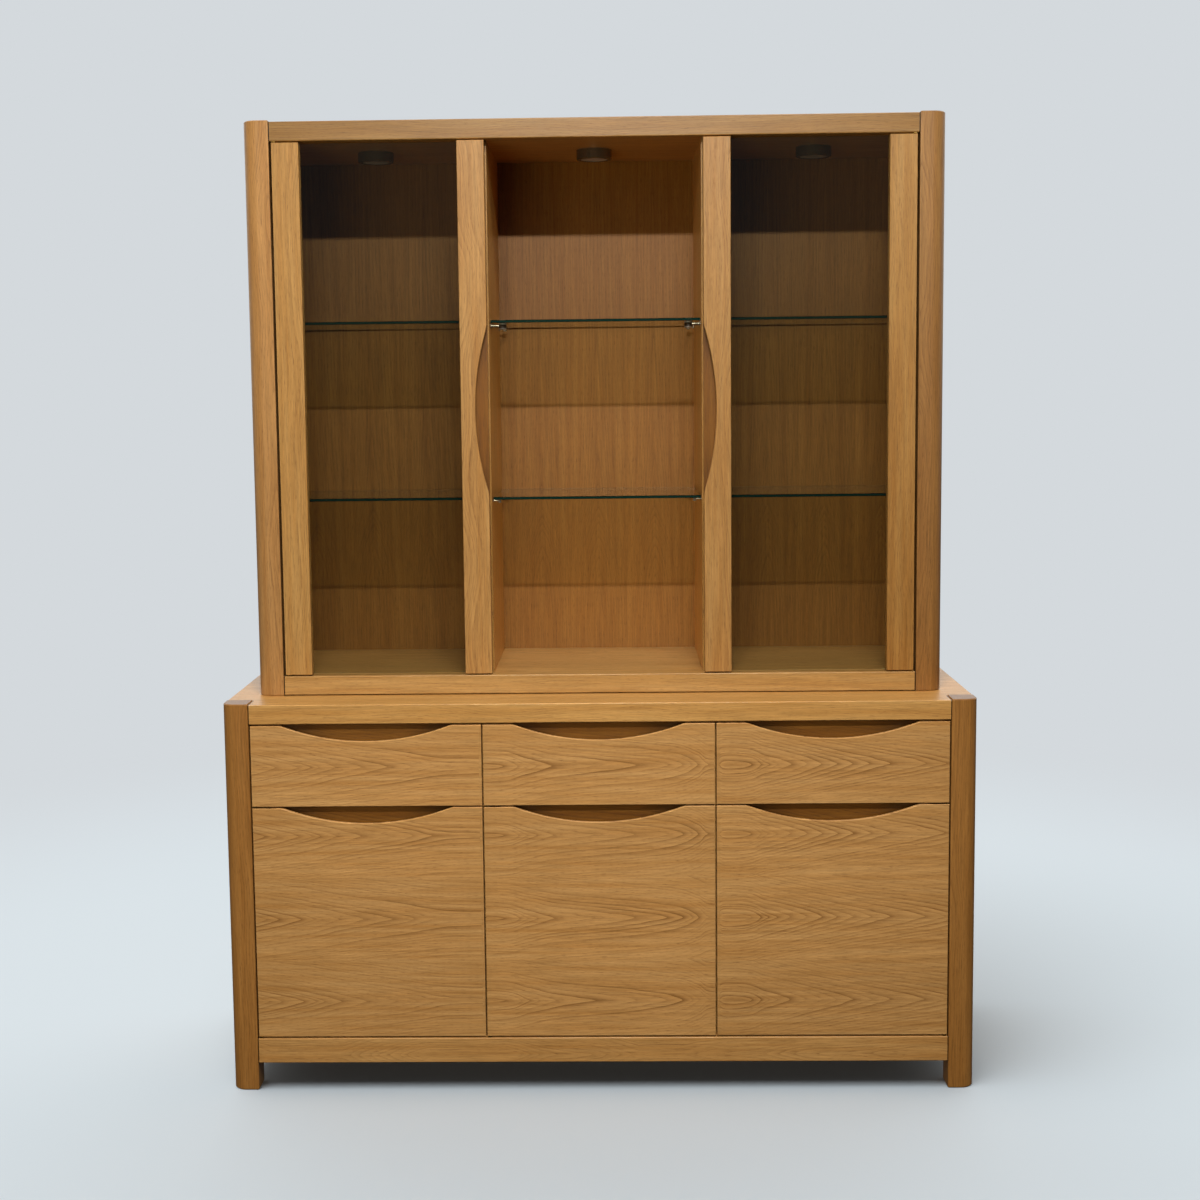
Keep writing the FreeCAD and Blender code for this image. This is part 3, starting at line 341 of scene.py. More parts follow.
# %% Its colour, its sheen and its surface
figured = add(oak, "Math", {0: line, 1: given["Figure"]}, operation="MULTIPLY")
ground = add(oak, "Mix", {"Factor": broad, 6: given["Pale"], 7: given["Warm"]}, data_type="RGBA")
ringed = add(oak, "Mix", {"Factor": figured, 6: ground.outputs[2], 7: given["Dark"]}, data_type="RGBA")
pore_share = add(oak, "Math", {0: pores, 1: 0.72}, operation="MULTIPLY")
ended = add(oak, "Math", {0: given["End grain"], 1: 0.4, 2: pore_share}, operation="MULTIPLY_ADD")
pored = add(oak, "Mix", {"Factor": ended, 6: ringed.outputs[2], 7: given["Dark"]}, data_type="RGBA")
# Painted shade: where a shade function asks for it, the colour is multiplied by a brown, so it is darker and
# browner where shade falls.
shade_browned = add(oak, "Mix", {"Factor": given["Stain"], 6: pored.outputs[2], 7: linear("#C8AE6E")},
              data_type="RGBA", blend_type="MULTIPLY")
streaks = add(oak, "Math", {0: medium, 1: 0.1, 2: 1.0}, operation="MULTIPLY_ADD")
streaks = add(oak, "Math", {0: fine, 1: 0.13, 2: streaks}, operation="MULTIPLY_ADD")
streaks = add(oak, "Math", {0: streaks, 1: given["Tone"]}, operation="MULTIPLY")
toned = add(oak, "VectorMath", {0: shade_browned.outputs[2], "Scale": streaks}, operation="SCALE")
dull = add(oak, "Math", {0: pores, 1: 0.16, 2: given["Dullness"]}, operation="MULTIPLY_ADD")
raised = add(oak, "Math", {0: fine, 1: 0.18, 2: 0.5}, operation="MULTIPLY_ADD")
height = add(oak, "Math", {0: pores, 1: -0.5, 2: raised}, operation="MULTIPLY_ADD")
add(oak, "NodeGroupOutput", {"Colour": toned, "Roughness": dull, "Height": height})

# %% [markdown]
# ## Cutting the boards
#
# A finish needs to know which way a board was cut: which axis runs along the grain, and where the
# heart of its tree was. Two makers cover this cabinet. Solid oak is cut from the tree in all three
# directions, so its end grain and its edges agree with its face. Veneer is a thin leaf that is
# sliced off and laid side by side with the next, so its pattern repeats with each leaf, a little
# changed, and doesn't go into the board.

# %% A finish from a cut
OAK_PALE, OAK_WARM, OAK_DARK = "#BA9054", "#AA7C40", "#784F22"


def oak_finish(name, cut, ring_width, waver, figure, colours=(OAK_PALE, OAK_WARM, OAK_DARK),
               arch=1.3, dullness=0.4, shade=None):
    """Satin lacquer over oak. The cut gives the node sockets of place, heart, seed and tone.

    A shade takes the tree, the place and the way the surface faces. It gives a share of painted
    light, and how much painted shade darkens and browns the colour.
    """
    material, tree = new_material(name)
    here = add(tree, "TexCoord")
    millimetres = add(tree, "VectorMath", {0: here.outputs["Object"], "Scale": 1000.0}, operation="SCALE")
    spot = add(tree, "SeparateXYZ", {0: millimetres}).outputs
    facing = add(tree, "SeparateXYZ", {0: here.outputs["Normal"]}).outputs
    found = cut(tree, spot, facing)
    # A shade paints light and shade into the colour: its share of light scales the tone.
    if shade:
        light, found["Stain"] = shade(tree, spot, facing)
        found["Tone"] = add(tree, "Math", {0: found["Tone"], 1: light}, operation="MULTIPLY")
    pale, warm, dark = [linear(colour) for colour in colours]
    wood = add(tree, "Group", {
        "Ring width": ring_width, "Waver": waver, "Figure": figure, "Arch": arch, "Dullness": dullness,
        "Pale": pale, "Warm": warm, "Dark": dark, **found}, node_tree=oak)
    grain = add(tree, "Bump", {"Strength": 0.35, "Distance": 0.0004,
                               "Height": wood.outputs["Height"]})
    lacquer = add(tree, "BsdfPrincipled", {
        "Base Color": wood.outputs["Colour"], "Roughness": wood.outputs["Roughness"],
        "Normal": grain, "IOR": 1.5, "Coat Weight": 0.12, "Coat Roughness": 0.28})
    add(tree, "OutputMaterial", {"Surface": lacquer})
    return material


# %% Painted shade and light: pulls, joints, faces and uprights
SHEER = 0.6  # a face that looks up or down at least this squarely
PULL_FLOOR, PULL_REACH = 16.5, 181.0  # how deep a pull is, and how far its ends are from its middle


def pull_shade(face, along, centre, pitch, centre_light, end_light):
    """The floor of a pull lies behind the face. Painted shade darkens and browns it, and darkens it
    more toward its ends. Every face that looks up, such as the lip below the pull, gets a painted highlight."""
    def shade(tree, spot, facing):
        inside = add(tree, "Math", {0: spot[1], 1: face + PULL_FLOOR, 2: 2.0}, operation="COMPARE")
        forward = add(tree, "Math", {0: facing[1], 1: -0.5}, operation="LESS_THAN")
        floor_here = add(tree, "Math", {0: inside, 1: forward}, operation="MULTIPLY")
        away = add(tree, "Math", {0: spot[along], 1: centre}, operation="SUBTRACT")
        away = add(tree, "Math", {0: away, 1: pitch}, operation="DIVIDE")
        nearest = add(tree, "Math", {0: away}, operation="ROUND")
        away = add(tree, "Math", {0: away, 1: nearest}, operation="SUBTRACT")
        away = add(tree, "Math", {0: away}, operation="ABSOLUTE")
        reach = PULL_REACH / pitch
        lit = add(tree, "MapRange", {0: away, 1: 0.3 * reach, 2: reach, 3: centre_light,
                                     4: end_light}, interpolation_type="SMOOTHSTEP")
        light = add(tree, "Mix", {0: floor_here, 2: 1.0, 3: lit})
        # Painted highlight: every face that looks up is painted lighter.
        upward_highlight = add(tree, "Math", {0: facing[2], 1: SHEER}, operation="GREATER_THAN")
        return add(tree, "Math", {0: upward_highlight, 1: 0.35, 2: light}, operation="MULTIPLY_ADD"), floor_here
    return shade


def joint_shade(post, underside_light=1.0):
    """Painted shade: a dark hairline where a board meets a post, as far back as the post goes. A board's
    broad upper face is painted paler, as light from above, and its underside lighter by a factor, as light
    from below."""
    (inner_face, *_), (_, rear_face, _) = in_millimetres(post)

    def shade(tree, spot, facing):
        across = add(tree, "Math", {0: spot[0]}, operation="ABSOLUTE")
        on_line = add(tree, "Math", {0: across, 1: inner_face - 0.6, 2: 1.3}, operation="COMPARE")
        in_front = add(tree, "Math", {0: spot[1], 1: rear_face + 1.0}, operation="LESS_THAN")
        # Painted shade in the hairline of the joint.
        dark = add(tree, "Math", {0: on_line, 1: in_front}, operation="MULTIPLY")
        upward = add(tree, "Math", {0: facing[2], 1: SHEER}, operation="GREATER_THAN")
        downward = add(tree, "Math", {0: facing[2], 1: -SHEER}, operation="LESS_THAN")
        # Painted light: faces that look up are painted paler, and faces that look down by the underside
        # factor.
        face_light = add(tree, "Math", {0: upward, 1: 0.3, 2: 1.0}, operation="MULTIPLY_ADD")
        face_light = add(tree, "Math", {0: downward, 1: underside_light - 1.0, 2: face_light}, operation="MULTIPLY_ADD")
        return add(tree, "Mix", {0: dark, 2: face_light, 3: 0.15}), dark
    return shade


def front_edge_shade(light):
    """A panel's front edge is painted darker than its faces, whose colours carry painted light."""
    def shade(tree, spot, facing):
        forward = add(tree, "Math", {0: facing[1], 1: -0.5}, operation="LESS_THAN")
        return add(tree, "Mix", {0: forward, 2: 1.0, 3: light}), 0.0
    return shade


def upright_painted_light(head_light):
    """Painted light and shade on the hutch's uprights. The left ones are painted lighter toward their
    heads; the right ones are a little darker, and painted browner with shade toward their feet. The
    post's face in the joint beside the door is painted dark, a painted shade in the gap."""
    foot, head = in_millimetres("hutch_bottom")[1][2], in_millimetres("hutch_top")[0][2]
    inner_face = in_millimetres("hutch_post_right")[0][0]

    def shade(tree, spot, facing):
        on_right = add(tree, "Math", {0: spot[0], 1: 0.0}, operation="GREATER_THAN")
        left_light = add(tree, "MapRange", {0: spot[2], 1: foot, 2: head, 3: 1.03, 4: head_light})
        # Painted shade: on the right, the colour is browned toward the feet.
        depth = add(tree, "MapRange", {0: spot[2], 1: foot, 2: head, 3: 0.6, 4: 0.0})
        light = add(tree, "Mix", {0: on_right, 2: left_light, 3: 0.96})
        across = add(tree, "Math", {0: spot[0]}, operation="ABSOLUTE")
        # Painted shade in the gap between the post and the door.
        in_joint = add(tree, "Math", {0: across, 1: inner_face, 2: 0.7}, operation="COMPARE")
        light = add(tree, "Mix", {0: in_joint, 2: light, 3: 0.4})
        return light, add(tree, "Math", {0: depth, 1: on_right}, operation="MULTIPLY")
    return shade


print("pulls are", PULL_FLOOR, "mm deep")

# %% The cut of solid oak
WANDER = 18.0  # how far a trunk strays from straight


def solid_cut(along, across, depth, board, heart, seed, stave=0.0, mirrored=False, level=None):
    """Axes as 0, 1 or 2, and the place of the heart from the board's middle, across and deep.

    Staves are strips glued side by side, and then the heart is given from each one's middle.
    A mirrored board has a twin on the other side of X = 0. If a level is given, depth counts from
    there, so that boards can share a trunk.
    """
    low, high = in_millimetres(board)
    start = low[across] if stave else (low[across] + high[across]) / 2
    if level is None:
        level = (low[depth] + high[depth]) / 2

    def cut(tree, spot, facing):
        side = spot[across]
        number = seed
        if mirrored:
            hand = add(tree, "Math", {0: spot[0]}, operation="SIGN")
            side = add(tree, "Math", {0: side}, operation="ABSOLUTE")
            number = add(tree, "Math", {0: hand, 1: 5.3, 2: seed}, operation="MULTIPLY_ADD")
        side = add(tree, "Math", {0: side, 1: start}, operation="SUBTRACT")
        if stave:
            count = add(tree, "Math", {0: side, 1: stave}, operation="DIVIDE")
            strip = add(tree, "Math", {0: count}, operation="FLOOR")
            within = add(tree, "Math", {0: count}, operation="FRACT")
            side = add(tree, "Math", {0: within, 1: stave, 2: -stave / 2}, operation="MULTIPLY_ADD")
            number = add(tree, "Math", {0: strip, 1: 3.1, 2: seed}, operation="MULTIPLY_ADD")
        side = add(tree, "Math", {0: side, 1: heart[0]})
        inward = add(tree, "Math", {0: spot[depth], 1: level}, operation="SUBTRACT")
        place = add(tree, "CombineXYZ", {0: spot[along], 1: side, 2: inward})
        drift = add(tree, "Math", {0: spot[along], 1: 1 / 420, 2: number}, operation="MULTIPLY_ADD")
        swing = add(tree, "TexNoise", {"W": drift, "Scale": 1.0, "Detail": 1.0}, noise_dimensions="1D")
        wandering = add(tree, "MapRange", {0: swing, 1: 0.25, 2: 0.75, 3: heart[1] - WANDER,
                                           4: heart[1] + WANDER})
        lot = add(tree, "TexWhiteNoise", {"W": number}, noise_dimensions="1D").outputs["Value"]
        tone = add(tree, "MapRange", {0: lot, 3: 0.95, 4: 1.05})
        straight_on = add(tree, "Math", {0: facing[along]}, operation="ABSOLUTE")
        ended = add(tree, "MapRange", {0: straight_on, 1: 0.75, 2: 0.9})
        return {"Place": place, "Heart depth": wandering, "Seed": number, "Tone": tone, "End grain": ended}
    return cut


# %% The cut of veneer
LEAF_SHADE = 0.04  # how much darker a leaf is at its far edge


def veneer_cut(along, across, start, leaf_width, heart_curve, seed, column_width=0.0):
    """Leaves laid side by side across the board from a start. The heart's depth follows a curve:
    pairs of the place along the grain and the depth there, both in millimetres."""
    low, high = heart_curve[0][0], heart_curve[-1][0]
    deepest = max(depth for place, depth in heart_curve)

    def cut(tree, spot, facing):
        from_start = add(tree, "Math", {0: spot[across], 1: start}, operation="SUBTRACT")
        count = add(tree, "Math", {0: from_start, 1: leaf_width}, operation="DIVIDE")
        leaf = add(tree, "Math", {0: count}, operation="FLOOR")
        within = add(tree, "Math", {0: count}, operation="FRACT")
        side = add(tree, "Math", {0: within, 1: leaf_width, 2: -leaf_width / 2}, operation="MULTIPLY_ADD")
        place = add(tree, "CombineXYZ", {0: spot[along], 1: side})
        share = add(tree, "MapRange", {0: spot[along], 1: low, 2: high})
        curve = add(tree, "FloatCurve", {"Value": share})
        points = curve.mapping.curves[0].points
        for number, (at, depth) in enumerate(heart_curve):
            where = ((at - low) / (high - low), depth / deepest)
            if number in (0, len(heart_curve) - 1):
                points[0 if number == 0 else len(points) - 1].location = where
            else:
                points.new(*where)
        for point in points:
            point.handle_type = "AUTO_CLAMPED"
        curve.mapping.update()
        heart = add(tree, "Math", {0: curve, 1: deepest}, operation="MULTIPLY")
        number = add(tree, "Math", {0: leaf, 1: 0.11, 2: seed}, operation="MULTIPLY_ADD")
        if column_width:
            column = add(tree, "Math", {0: spot[along], 1: column_width}, operation="DIVIDE")
            column = add(tree, "Math", {0: column}, operation="ROUND")
            number = add(tree, "Math", {0: column, 1: 3.7, 2: number}, operation="MULTIPLY_ADD")
        lot = add(tree, "TexWhiteNoise", {"W": number}, noise_dimensions="1D").outputs["Value"]
        drawn = add(tree, "MapRange", {0: lot, 3: 0.975, 4: 1.025})
        tone = add(tree, "Math", {0: within, 1: -LEAF_SHADE, 2: drawn}, operation="MULTIPLY_ADD")
        return {"Place": place, "Heart depth": heart, "Seed": number, "Tone": tone}
    return cut


# %% [markdown]
# ## Oak for each part
#
# Fronts are veneered with the grain lying down, in leaves 176 mm wide, so each door shows three
# and each drawer one. On each front the arches start near the left edge and point to the right.
# The back panels have upright leaves 130 mm wide. Posts, stiles, rails and tops are solid, and
# the base's posts are a shade darker. All sizes here are in millimetres, as in the oak group.

# %% Veneered fronts
FRONT_HEART = (  # place across the cabinet, and how deep the heart lay there
    (-735, 4), (-640, 24), (-430, 60), (-246, 76), (-240, 17), (-150, 33), (-90, 45), (-50, 49), (110, 63),
    (160, 70), (205, 84), (238, 94), (244, 24), (262, 14), (340, 32), (520, 72), (735, 100))
FRONT_COLOURS = ("#B88F59", "#A87B44", "#774F24")
FRONT_LEAF, DOOR_START, DRAWER_START = 176, 103, 600
front_pitch = 1000 * middle("cupboard_door_right")[0]
base_face = in_millimetres("cupboard_door_right")[0][1]
# Painted shade in the pulls' floors, and a painted highlight on faces that look up.
front_pulls = pull_shade(base_face, 0, 0, front_pitch, 0.62, 0.16)
door_oak, drawer_oak = [
    oak_finish("lacquered_oak_%s_veneer" % word,
               veneer_cut(0, 2, start, FRONT_LEAF, FRONT_HEART, seed, column_width=front_pitch),
               6.2, 7.0, 0.9, FRONT_COLOURS, arch=1.25, shade=front_pulls)
    for word, start, seed in (("door", DOOR_START, 1.7), ("drawer", DRAWER_START, 2.1))]
print("fronts", door_oak.name, drawer_oak.name)

# %% Veneered panels
BACK_HEART = ((0, 60), (100, 8), (600, 70), (860, 14), (1240, 66), (1500, 76), (2011, 82))
BACK_COLOURS = ("#98692B", "#895A1F", "#5F380F")
BACK_START, BACK_LEAF, SIDE_START, SIDE_LEAF, FLAT_LEAF = -715, 130, -245, 165, 150
back_oak = oak_finish("lacquered_oak_back_veneer",
                      veneer_cut(2, 0, BACK_START, BACK_LEAF, BACK_HEART, 4.4), 4.4, 4.0, 0.4,
                      BACK_COLOURS, dullness=0.52)
SIDE_COLOURS = ("#C49654", "#B38240", "#7E5322")
side_oak = oak_finish("lacquered_oak_side_veneer",
                      veneer_cut(2, 1, SIDE_START, SIDE_LEAF, BACK_HEART, 7.9), 5.6, 8.0, 0.6, SIDE_COLOURS)
FLAT_HEART = ((-775, 10), (0, 50), (775, 90))
flat_oak = oak_finish("lacquered_oak_shelf_veneer",
                      veneer_cut(0, 1, SIDE_START, FLAT_LEAF, FLAT_HEART, 9.3), 5.6, 8.0, 0.6)
# Painted light: the partitions' colours are paler than the side panels' to stand in for light on their inner
# faces, and their front edges are painted darker again.
PARTITION_COLOURS = ("#E5AF5F", "#D19849", "#956127")
partition_oak = oak_finish("lacquered_oak_partition_veneer",
                           veneer_cut(2, 1, SIDE_START, SIDE_LEAF, BACK_HEART, 12.9), 5.6, 8.0, 0.6,
                           PARTITION_COLOURS, shade=front_edge_shade(0.49))
print("panels", back_oak.name, side_oak.name, flat_oak.name, partition_oak.name)

# %% Solid posts and stiles
def upright_oak(name, board, heart, seed, ring_width=4.2, **settings):
    """Oak for an upright that has a twin on the other side."""
    cut = solid_cut(2, 0, 1, board, heart, seed, mirrored=True)
    return oak_finish("lacquered_oak_" + name, cut, ring_width, 5.0, 0.5, **settings)


BASE_POST_COLOURS = ("#996C36", "#8A5D29", "#653E17")
POST_COLOURS = ("#AD824E", "#9D713F", "#6F4923")
STILE_COLOURS = ("#B38951", "#A4763E", "#734B21")
ONE_PULL = 4000.0  # a pitch beyond the stile's ends
HANDLE_STILE = "glass_door_right_handle_stile"
base_post_oak = upright_oak("base_post", "base_post_front_right", (30, 62), 3.2, colours=BASE_POST_COLOURS)
rear_post_oak = upright_oak("rear_post", "base_post_rear_right", (25, -70), 6.1, colours=BASE_POST_COLOURS)
# The hutch's uprights get painted light on the left and painted shade on the right.
hutch_post_oak = upright_oak("hutch_post", "hutch_post_right", (24, 60), 8.2, colours=POST_COLOURS,
                             shade=upright_painted_light(1.3))
hinge_stile_oak = upright_oak("hinge_stile", "glass_door_right_hinge_stile", (45, 150), 11.4, 4.6,
                              shade=upright_painted_light(1.14))
stile_face, stile_centre = in_millimetres(HANDLE_STILE)[0][1], 1000 * middle(HANDLE_STILE)[2]
# Painted shade in the stile's pull, and a painted highlight on faces that look up.
stile_pull = pull_shade(stile_face, 2, stile_centre, ONE_PULL, 0.8, 0.5)
handle_stile_oak = upright_oak("handle_stile", HANDLE_STILE, (-40, 150), 13.9, 4.6,
                               colours=STILE_COLOURS, shade=stile_pull)
print("uprights", len(bpy.data.materials), "materials so far")

# %% Solid rails and tops
RAIL_LEVEL, HUTCH_LEVEL, HUTCH_HEART = -240, 1400, (0, -640)
RAIL_COLOURS = ("#AF8751", "#A0743E", "#704A21")
# Painted shade in the joints beside the posts, and painted light on upper faces.
base_joint = joint_shade("base_post_front_right")
rail_oak = oak_finish("lacquered_oak_rail",
                      solid_cut(0, 2, 1, "base_front_rail", (10, 90), 15.1, level=RAIL_LEVEL),
                      4.4, 7.0, 0.6, RAIL_COLOURS, shade=base_joint)
top_oak = oak_finish("lacquered_oak_top", solid_cut(0, 1, 2, "base_top", (0, -46), 17.6, stave=92.0),
                     4.4, 8.0, 0.6, shade=base_joint)
HUTCH_TOP_COLOURS = ("#9A7643", "#8D6632", "#633F19")
# Its underside, the bay's ceiling, is painted 2.3 times lighter: painted light.
hutch_top_oak = oak_finish("lacquered_oak_hutch_top",
                           solid_cut(0, 1, 2, "hutch_top", HUTCH_HEART, 21.2, stave=88.0, level=HUTCH_LEVEL),
                           4.4, 8.0, 0.6, HUTCH_TOP_COLOURS,
                           shade=joint_shade("hutch_post_right", underside_light=2.3))
HUTCH_FLOOR_COLOURS = ("#AB8752", "#9D753F", "#6E4921")
hutch_floor_oak = oak_finish("lacquered_oak_hutch_floor",
                             solid_cut(0, 1, 2, "hutch_bottom", HUTCH_HEART, 23.8, stave=88.0,
                                       level=HUTCH_LEVEL),
                             4.4, 8.0, 0.6, HUTCH_FLOOR_COLOURS, shade=joint_shade("hutch_post_right"))
print("rails and tops", len(bpy.data.materials), "materials so far")

# %% Drawer boxes
box_wood = oak_finish("lacquered_drawer_box_wood",
                      solid_cut(1, 2, 0, "drawer_middle_front", (24.75, 300), 31.0), 5.0, 6.0, 0.4,
                      ("#D6B282", "#C9A271", "#A37C4C"))
print("drawer boxes", box_wood.name)

# %% [markdown]
# ## Glass
#
# Door glass and shelves are the same clear float glass, which has a little iron in it. Face on it
# hardly shows, but along an edge light has come a long way through it, and the edge is a
# dark bottle green. In a renderer, glass that bends light also stops the lamps' direct light, so a
# ray on its way to a lamp, and one that a surface has thrown back, pass straight through a thin
# tint instead, as they nearly do in life. A ray that has bent an odd number of times is inside
# the glass, where it goes on bending.

# %% Clear and edge-on glass
def float_glass(name, tint, shadow_tint, edge, edge_axis):
    """Clear glass whose faces along one axis are clear, and whose other faces are its edges."""
    material, tree = new_material(name)
    clear = add(tree, "BsdfPrincipled", {
        "Base Color": linear(tint), "Roughness": 0.0, "IOR": 1.5, "Transmission Weight": 1.0})
    thin = add(tree, "BsdfTransparent", {"Color": linear(shadow_tint)})
    ray = add(tree, "LightPath").outputs
    inside = add(tree, "Math", {0: ray["Transmission Depth"], 1: 2.0}, operation="MODULO")
    unbent = add(tree, "Math", {0: ray["Is Reflection Ray"], 1: inside}, operation="SUBTRACT")
    unbent = add(tree, "Math", {0: unbent, 1: ray["Is Shadow Ray"]}, operation="MAXIMUM")
    pane = add(tree, "MixShader", {0: unbent, 1: clear, 2: thin})
    facing = add(tree, "SeparateXYZ", {0: add(tree, "TexCoord").outputs["Normal"]})
    flat = add(tree, "Math", {0: facing.outputs[edge_axis]}, operation="ABSOLUTE")
    on_face = add(tree, "Math", {0: flat, 1: 0.6}, operation="GREATER_THAN")
    rim = add(tree, "BsdfPrincipled", {
        "Base Color": linear(edge), "Roughness": 0.12, "IOR": 1.5})
    whole = add(tree, "MixShader", {0: on_face, 1: rim, 2: pane})
    add(tree, "OutputMaterial", {"Surface": whole})
    return material


door_glass = float_glass("clear_float_glass_door", "#DAD9CF", "#EFF2EF", "#1E3A30", 1)
shelf_glass = float_glass("clear_float_glass_shelf", "#E6F0EA", "#E5E6DC", "#0C2A24", 2)
print("glass", door_glass.name, shelf_glass.name)

# %% [markdown]
# ## Metal
#
# The shelf holders are satin chrome and the pivot hinges brushed brass. Metal is nothing
# but reflection, so its colour is the colour of what it mirrors, and its polish is its roughness.
# The lights' cans are sprayed dark bronze, with a lens that is frosted on its inner side.

# %% Plated, brushed and sprayed
def metal_finish(name, colour, roughness, grit_mm, metallic=1.0, spread=0.06):
    """A metal with the small unevenness that its polish leaves, at the size of its grit."""
    material, tree = new_material(name)
    place = add(tree, "TexCoord").outputs["Object"]
    grit = add(tree, "TexNoise", {"Vector": place, "Scale": 1000 / grit_mm, "Detail": 2.0})
    uneven = add(tree, "MapRange", {0: grit, 3: roughness - spread, 4: roughness + spread})
    dents = add(tree, "Bump", {"Strength": 0.08, "Distance": 0.0002, "Height": grit})
    shader = add(tree, "BsdfPrincipled", {
        "Base Color": linear(colour), "Metallic": metallic, "Roughness": uneven, "Normal": dents})
    add(tree, "OutputMaterial", {"Surface": shader})
    return material


chrome = metal_finish("chrome_plate", "#B4B0A6", 0.34, 2.0, metallic=0.9, spread=0.04)
brass = metal_finish("brushed_brass", "#C9A45C", 0.32, 0.8)
zinc = metal_finish("zinc_plated_steel", "#B9B9B4", 0.34, 1.2)
bronze = metal_finish("dark_bronze_paint", "#77694F", 0.26, 0.9, metallic=0.75)
lens_glass = metal_finish("frosted_lens", "#A89C8C", 0.5, 1.5, metallic=0.0)
waist_rubber = metal_finish("dark_soft_plastic", "#2E2318", 0.5, 1.0, metallic=0.0)
buffer_rubber = metal_finish("clear_soft_plastic", "#D9D6CE", 0.3, 1.0, metallic=0.0)
print("metals done")

# %% The finish of every solid
FINISHES = (  # the first start or end that fits a solid's name counts
    ("_pivot_plates", brass), ("_glass", door_glass), ("_hinge_stile", hinge_stile_oak),
    ("_handle_stile", handle_stile_oak), ("_front", drawer_oak), ("drawer_", box_wood),
    ("cupboard_door", door_oak), ("base_post_front", base_post_oak), ("base_post_rear", rear_post_oak),
    ("hutch_post", hutch_post_oak), ("base_front_rail", rail_oak), ("_rail", flat_oak),
    ("base_top", top_oak), ("hutch_top", hutch_top_oak), ("hutch_bottom", hutch_floor_oak),
    ("base_bottom", flat_oak), ("base_divider", flat_oak), ("cupboard_shelves", flat_oak),
    ("_back_panel", back_oak), ("hutch_partition", partition_oak), ("base_", side_oak),
    ("hutch_side", side_oak), ("cupboard_shelf_clips", zinc), ("glass_shelves", shelf_glass),
    ("glass_shelf_holders", chrome), ("pivot_leaves", brass), ("puck_light_lenses", lens_glass),
    ("puck_lights", bronze),
)
for name, node in nodes.items():
    finish = next(material for word, material in FINISHES if name.startswith(word) or name.endswith(word))
    node.data.materials.clear()
    node.data.materials.append(finish)
print("finished", len(nodes), "solids")

# %% [markdown]
# ## Shelf holders
#
# Each glass shelf rests on four holders: a short arm from the wall with a turned, plated
# barrel on its end, thick at both rims. In the photograph the ones at the front of the upper
# shelves are about twice as big as the others, and have a dark sleeve round the waist. Much the
# same small thing twenty-four times over is work for Geometry Nodes. Turned work is a stack of
# cones, each as wide at its top as the one above it is at its foot. The tree stacks them once,
# puts a copy on each point of a mesh, and turns it by an attribute that says which wall the
# point is on. How long the attribute is says how big the copy is.

# %% A tree for turned work
def turned(tree, profile, radius, height, sides):
    """Stack cones from pairs of height and radius, both as shares, from the top down."""
    rings = []
    for (upper, top_radius), (lower, low_radius) in zip(profile, profile[1:]):
        if upper == lower:
            continue
        depth = add(tree, "Math", {0: height, 1: upper - lower}, operation="MULTIPLY")
        top = add(tree, "Math", {0: radius, 1: top_radius}, operation="MULTIPLY")
        foot = add(tree, "Math", {0: radius, 1: low_radius}, operation="MULTIPLY")
        cone = add(tree, "GeometryNodeMeshCone", {"Vertices": sides, "Radius Top": top,
                                                  "Radius Bottom": foot, "Depth": depth}, fill_type="NONE")
        base = add(tree, "Math", {0: height, 1: lower}, operation="MULTIPLY")
        up = add(tree, "CombineXYZ", {2: base})
        rings.append(add(tree, "GeometryNodeTransform", {"Geometry": cone, "Translation": up}))
    for share, width in (profile[0], profile[-1]):
        rim = add(tree, "Math", {0: radius, 1: width}, operation="MULTIPLY")
        disc = add(tree, "GeometryNodeMeshCircle", {"Vertices": sides, "Radius": rim}, fill_type="NGON")
        if share == profile[-1][0]:
            disc = add(tree, "GeometryNodeFlipFaces", {0: disc})
        level = add(tree, "Math", {0: height, 1: share}, operation="MULTIPLY")
        up = add(tree, "CombineXYZ", {2: level})
        rings.append(add(tree, "GeometryNodeTransform", {"Geometry": disc, "Translation": up}))
    whole = add(tree, "GeometryNodeJoinGeometry")
    for ring in rings:
        tree.links.new(ring.outputs[0], whole.inputs[0])
    return add(tree, "GeometryNodeMergeByDistance", {"Geometry": whole, "Distance": 0.00002})


def new_tree(name, **sizes):
    """A Geometry Nodes tree that takes points and named sizes in metres."""
    tree = bpy.data.node_groups.new(name, "GeometryNodeTree")
    tree.interface.new_socket("Geometry", in_out="INPUT", socket_type="NodeSocketGeometry")
    tree.interface.new_socket("Geometry", in_out="OUTPUT", socket_type="NodeSocketGeometry")
    for size, value in sizes.items():
        socket = tree.interface.new_socket(size, in_out="INPUT", socket_type="NodeSocketFloat")
        socket.default_value = value
    return tree


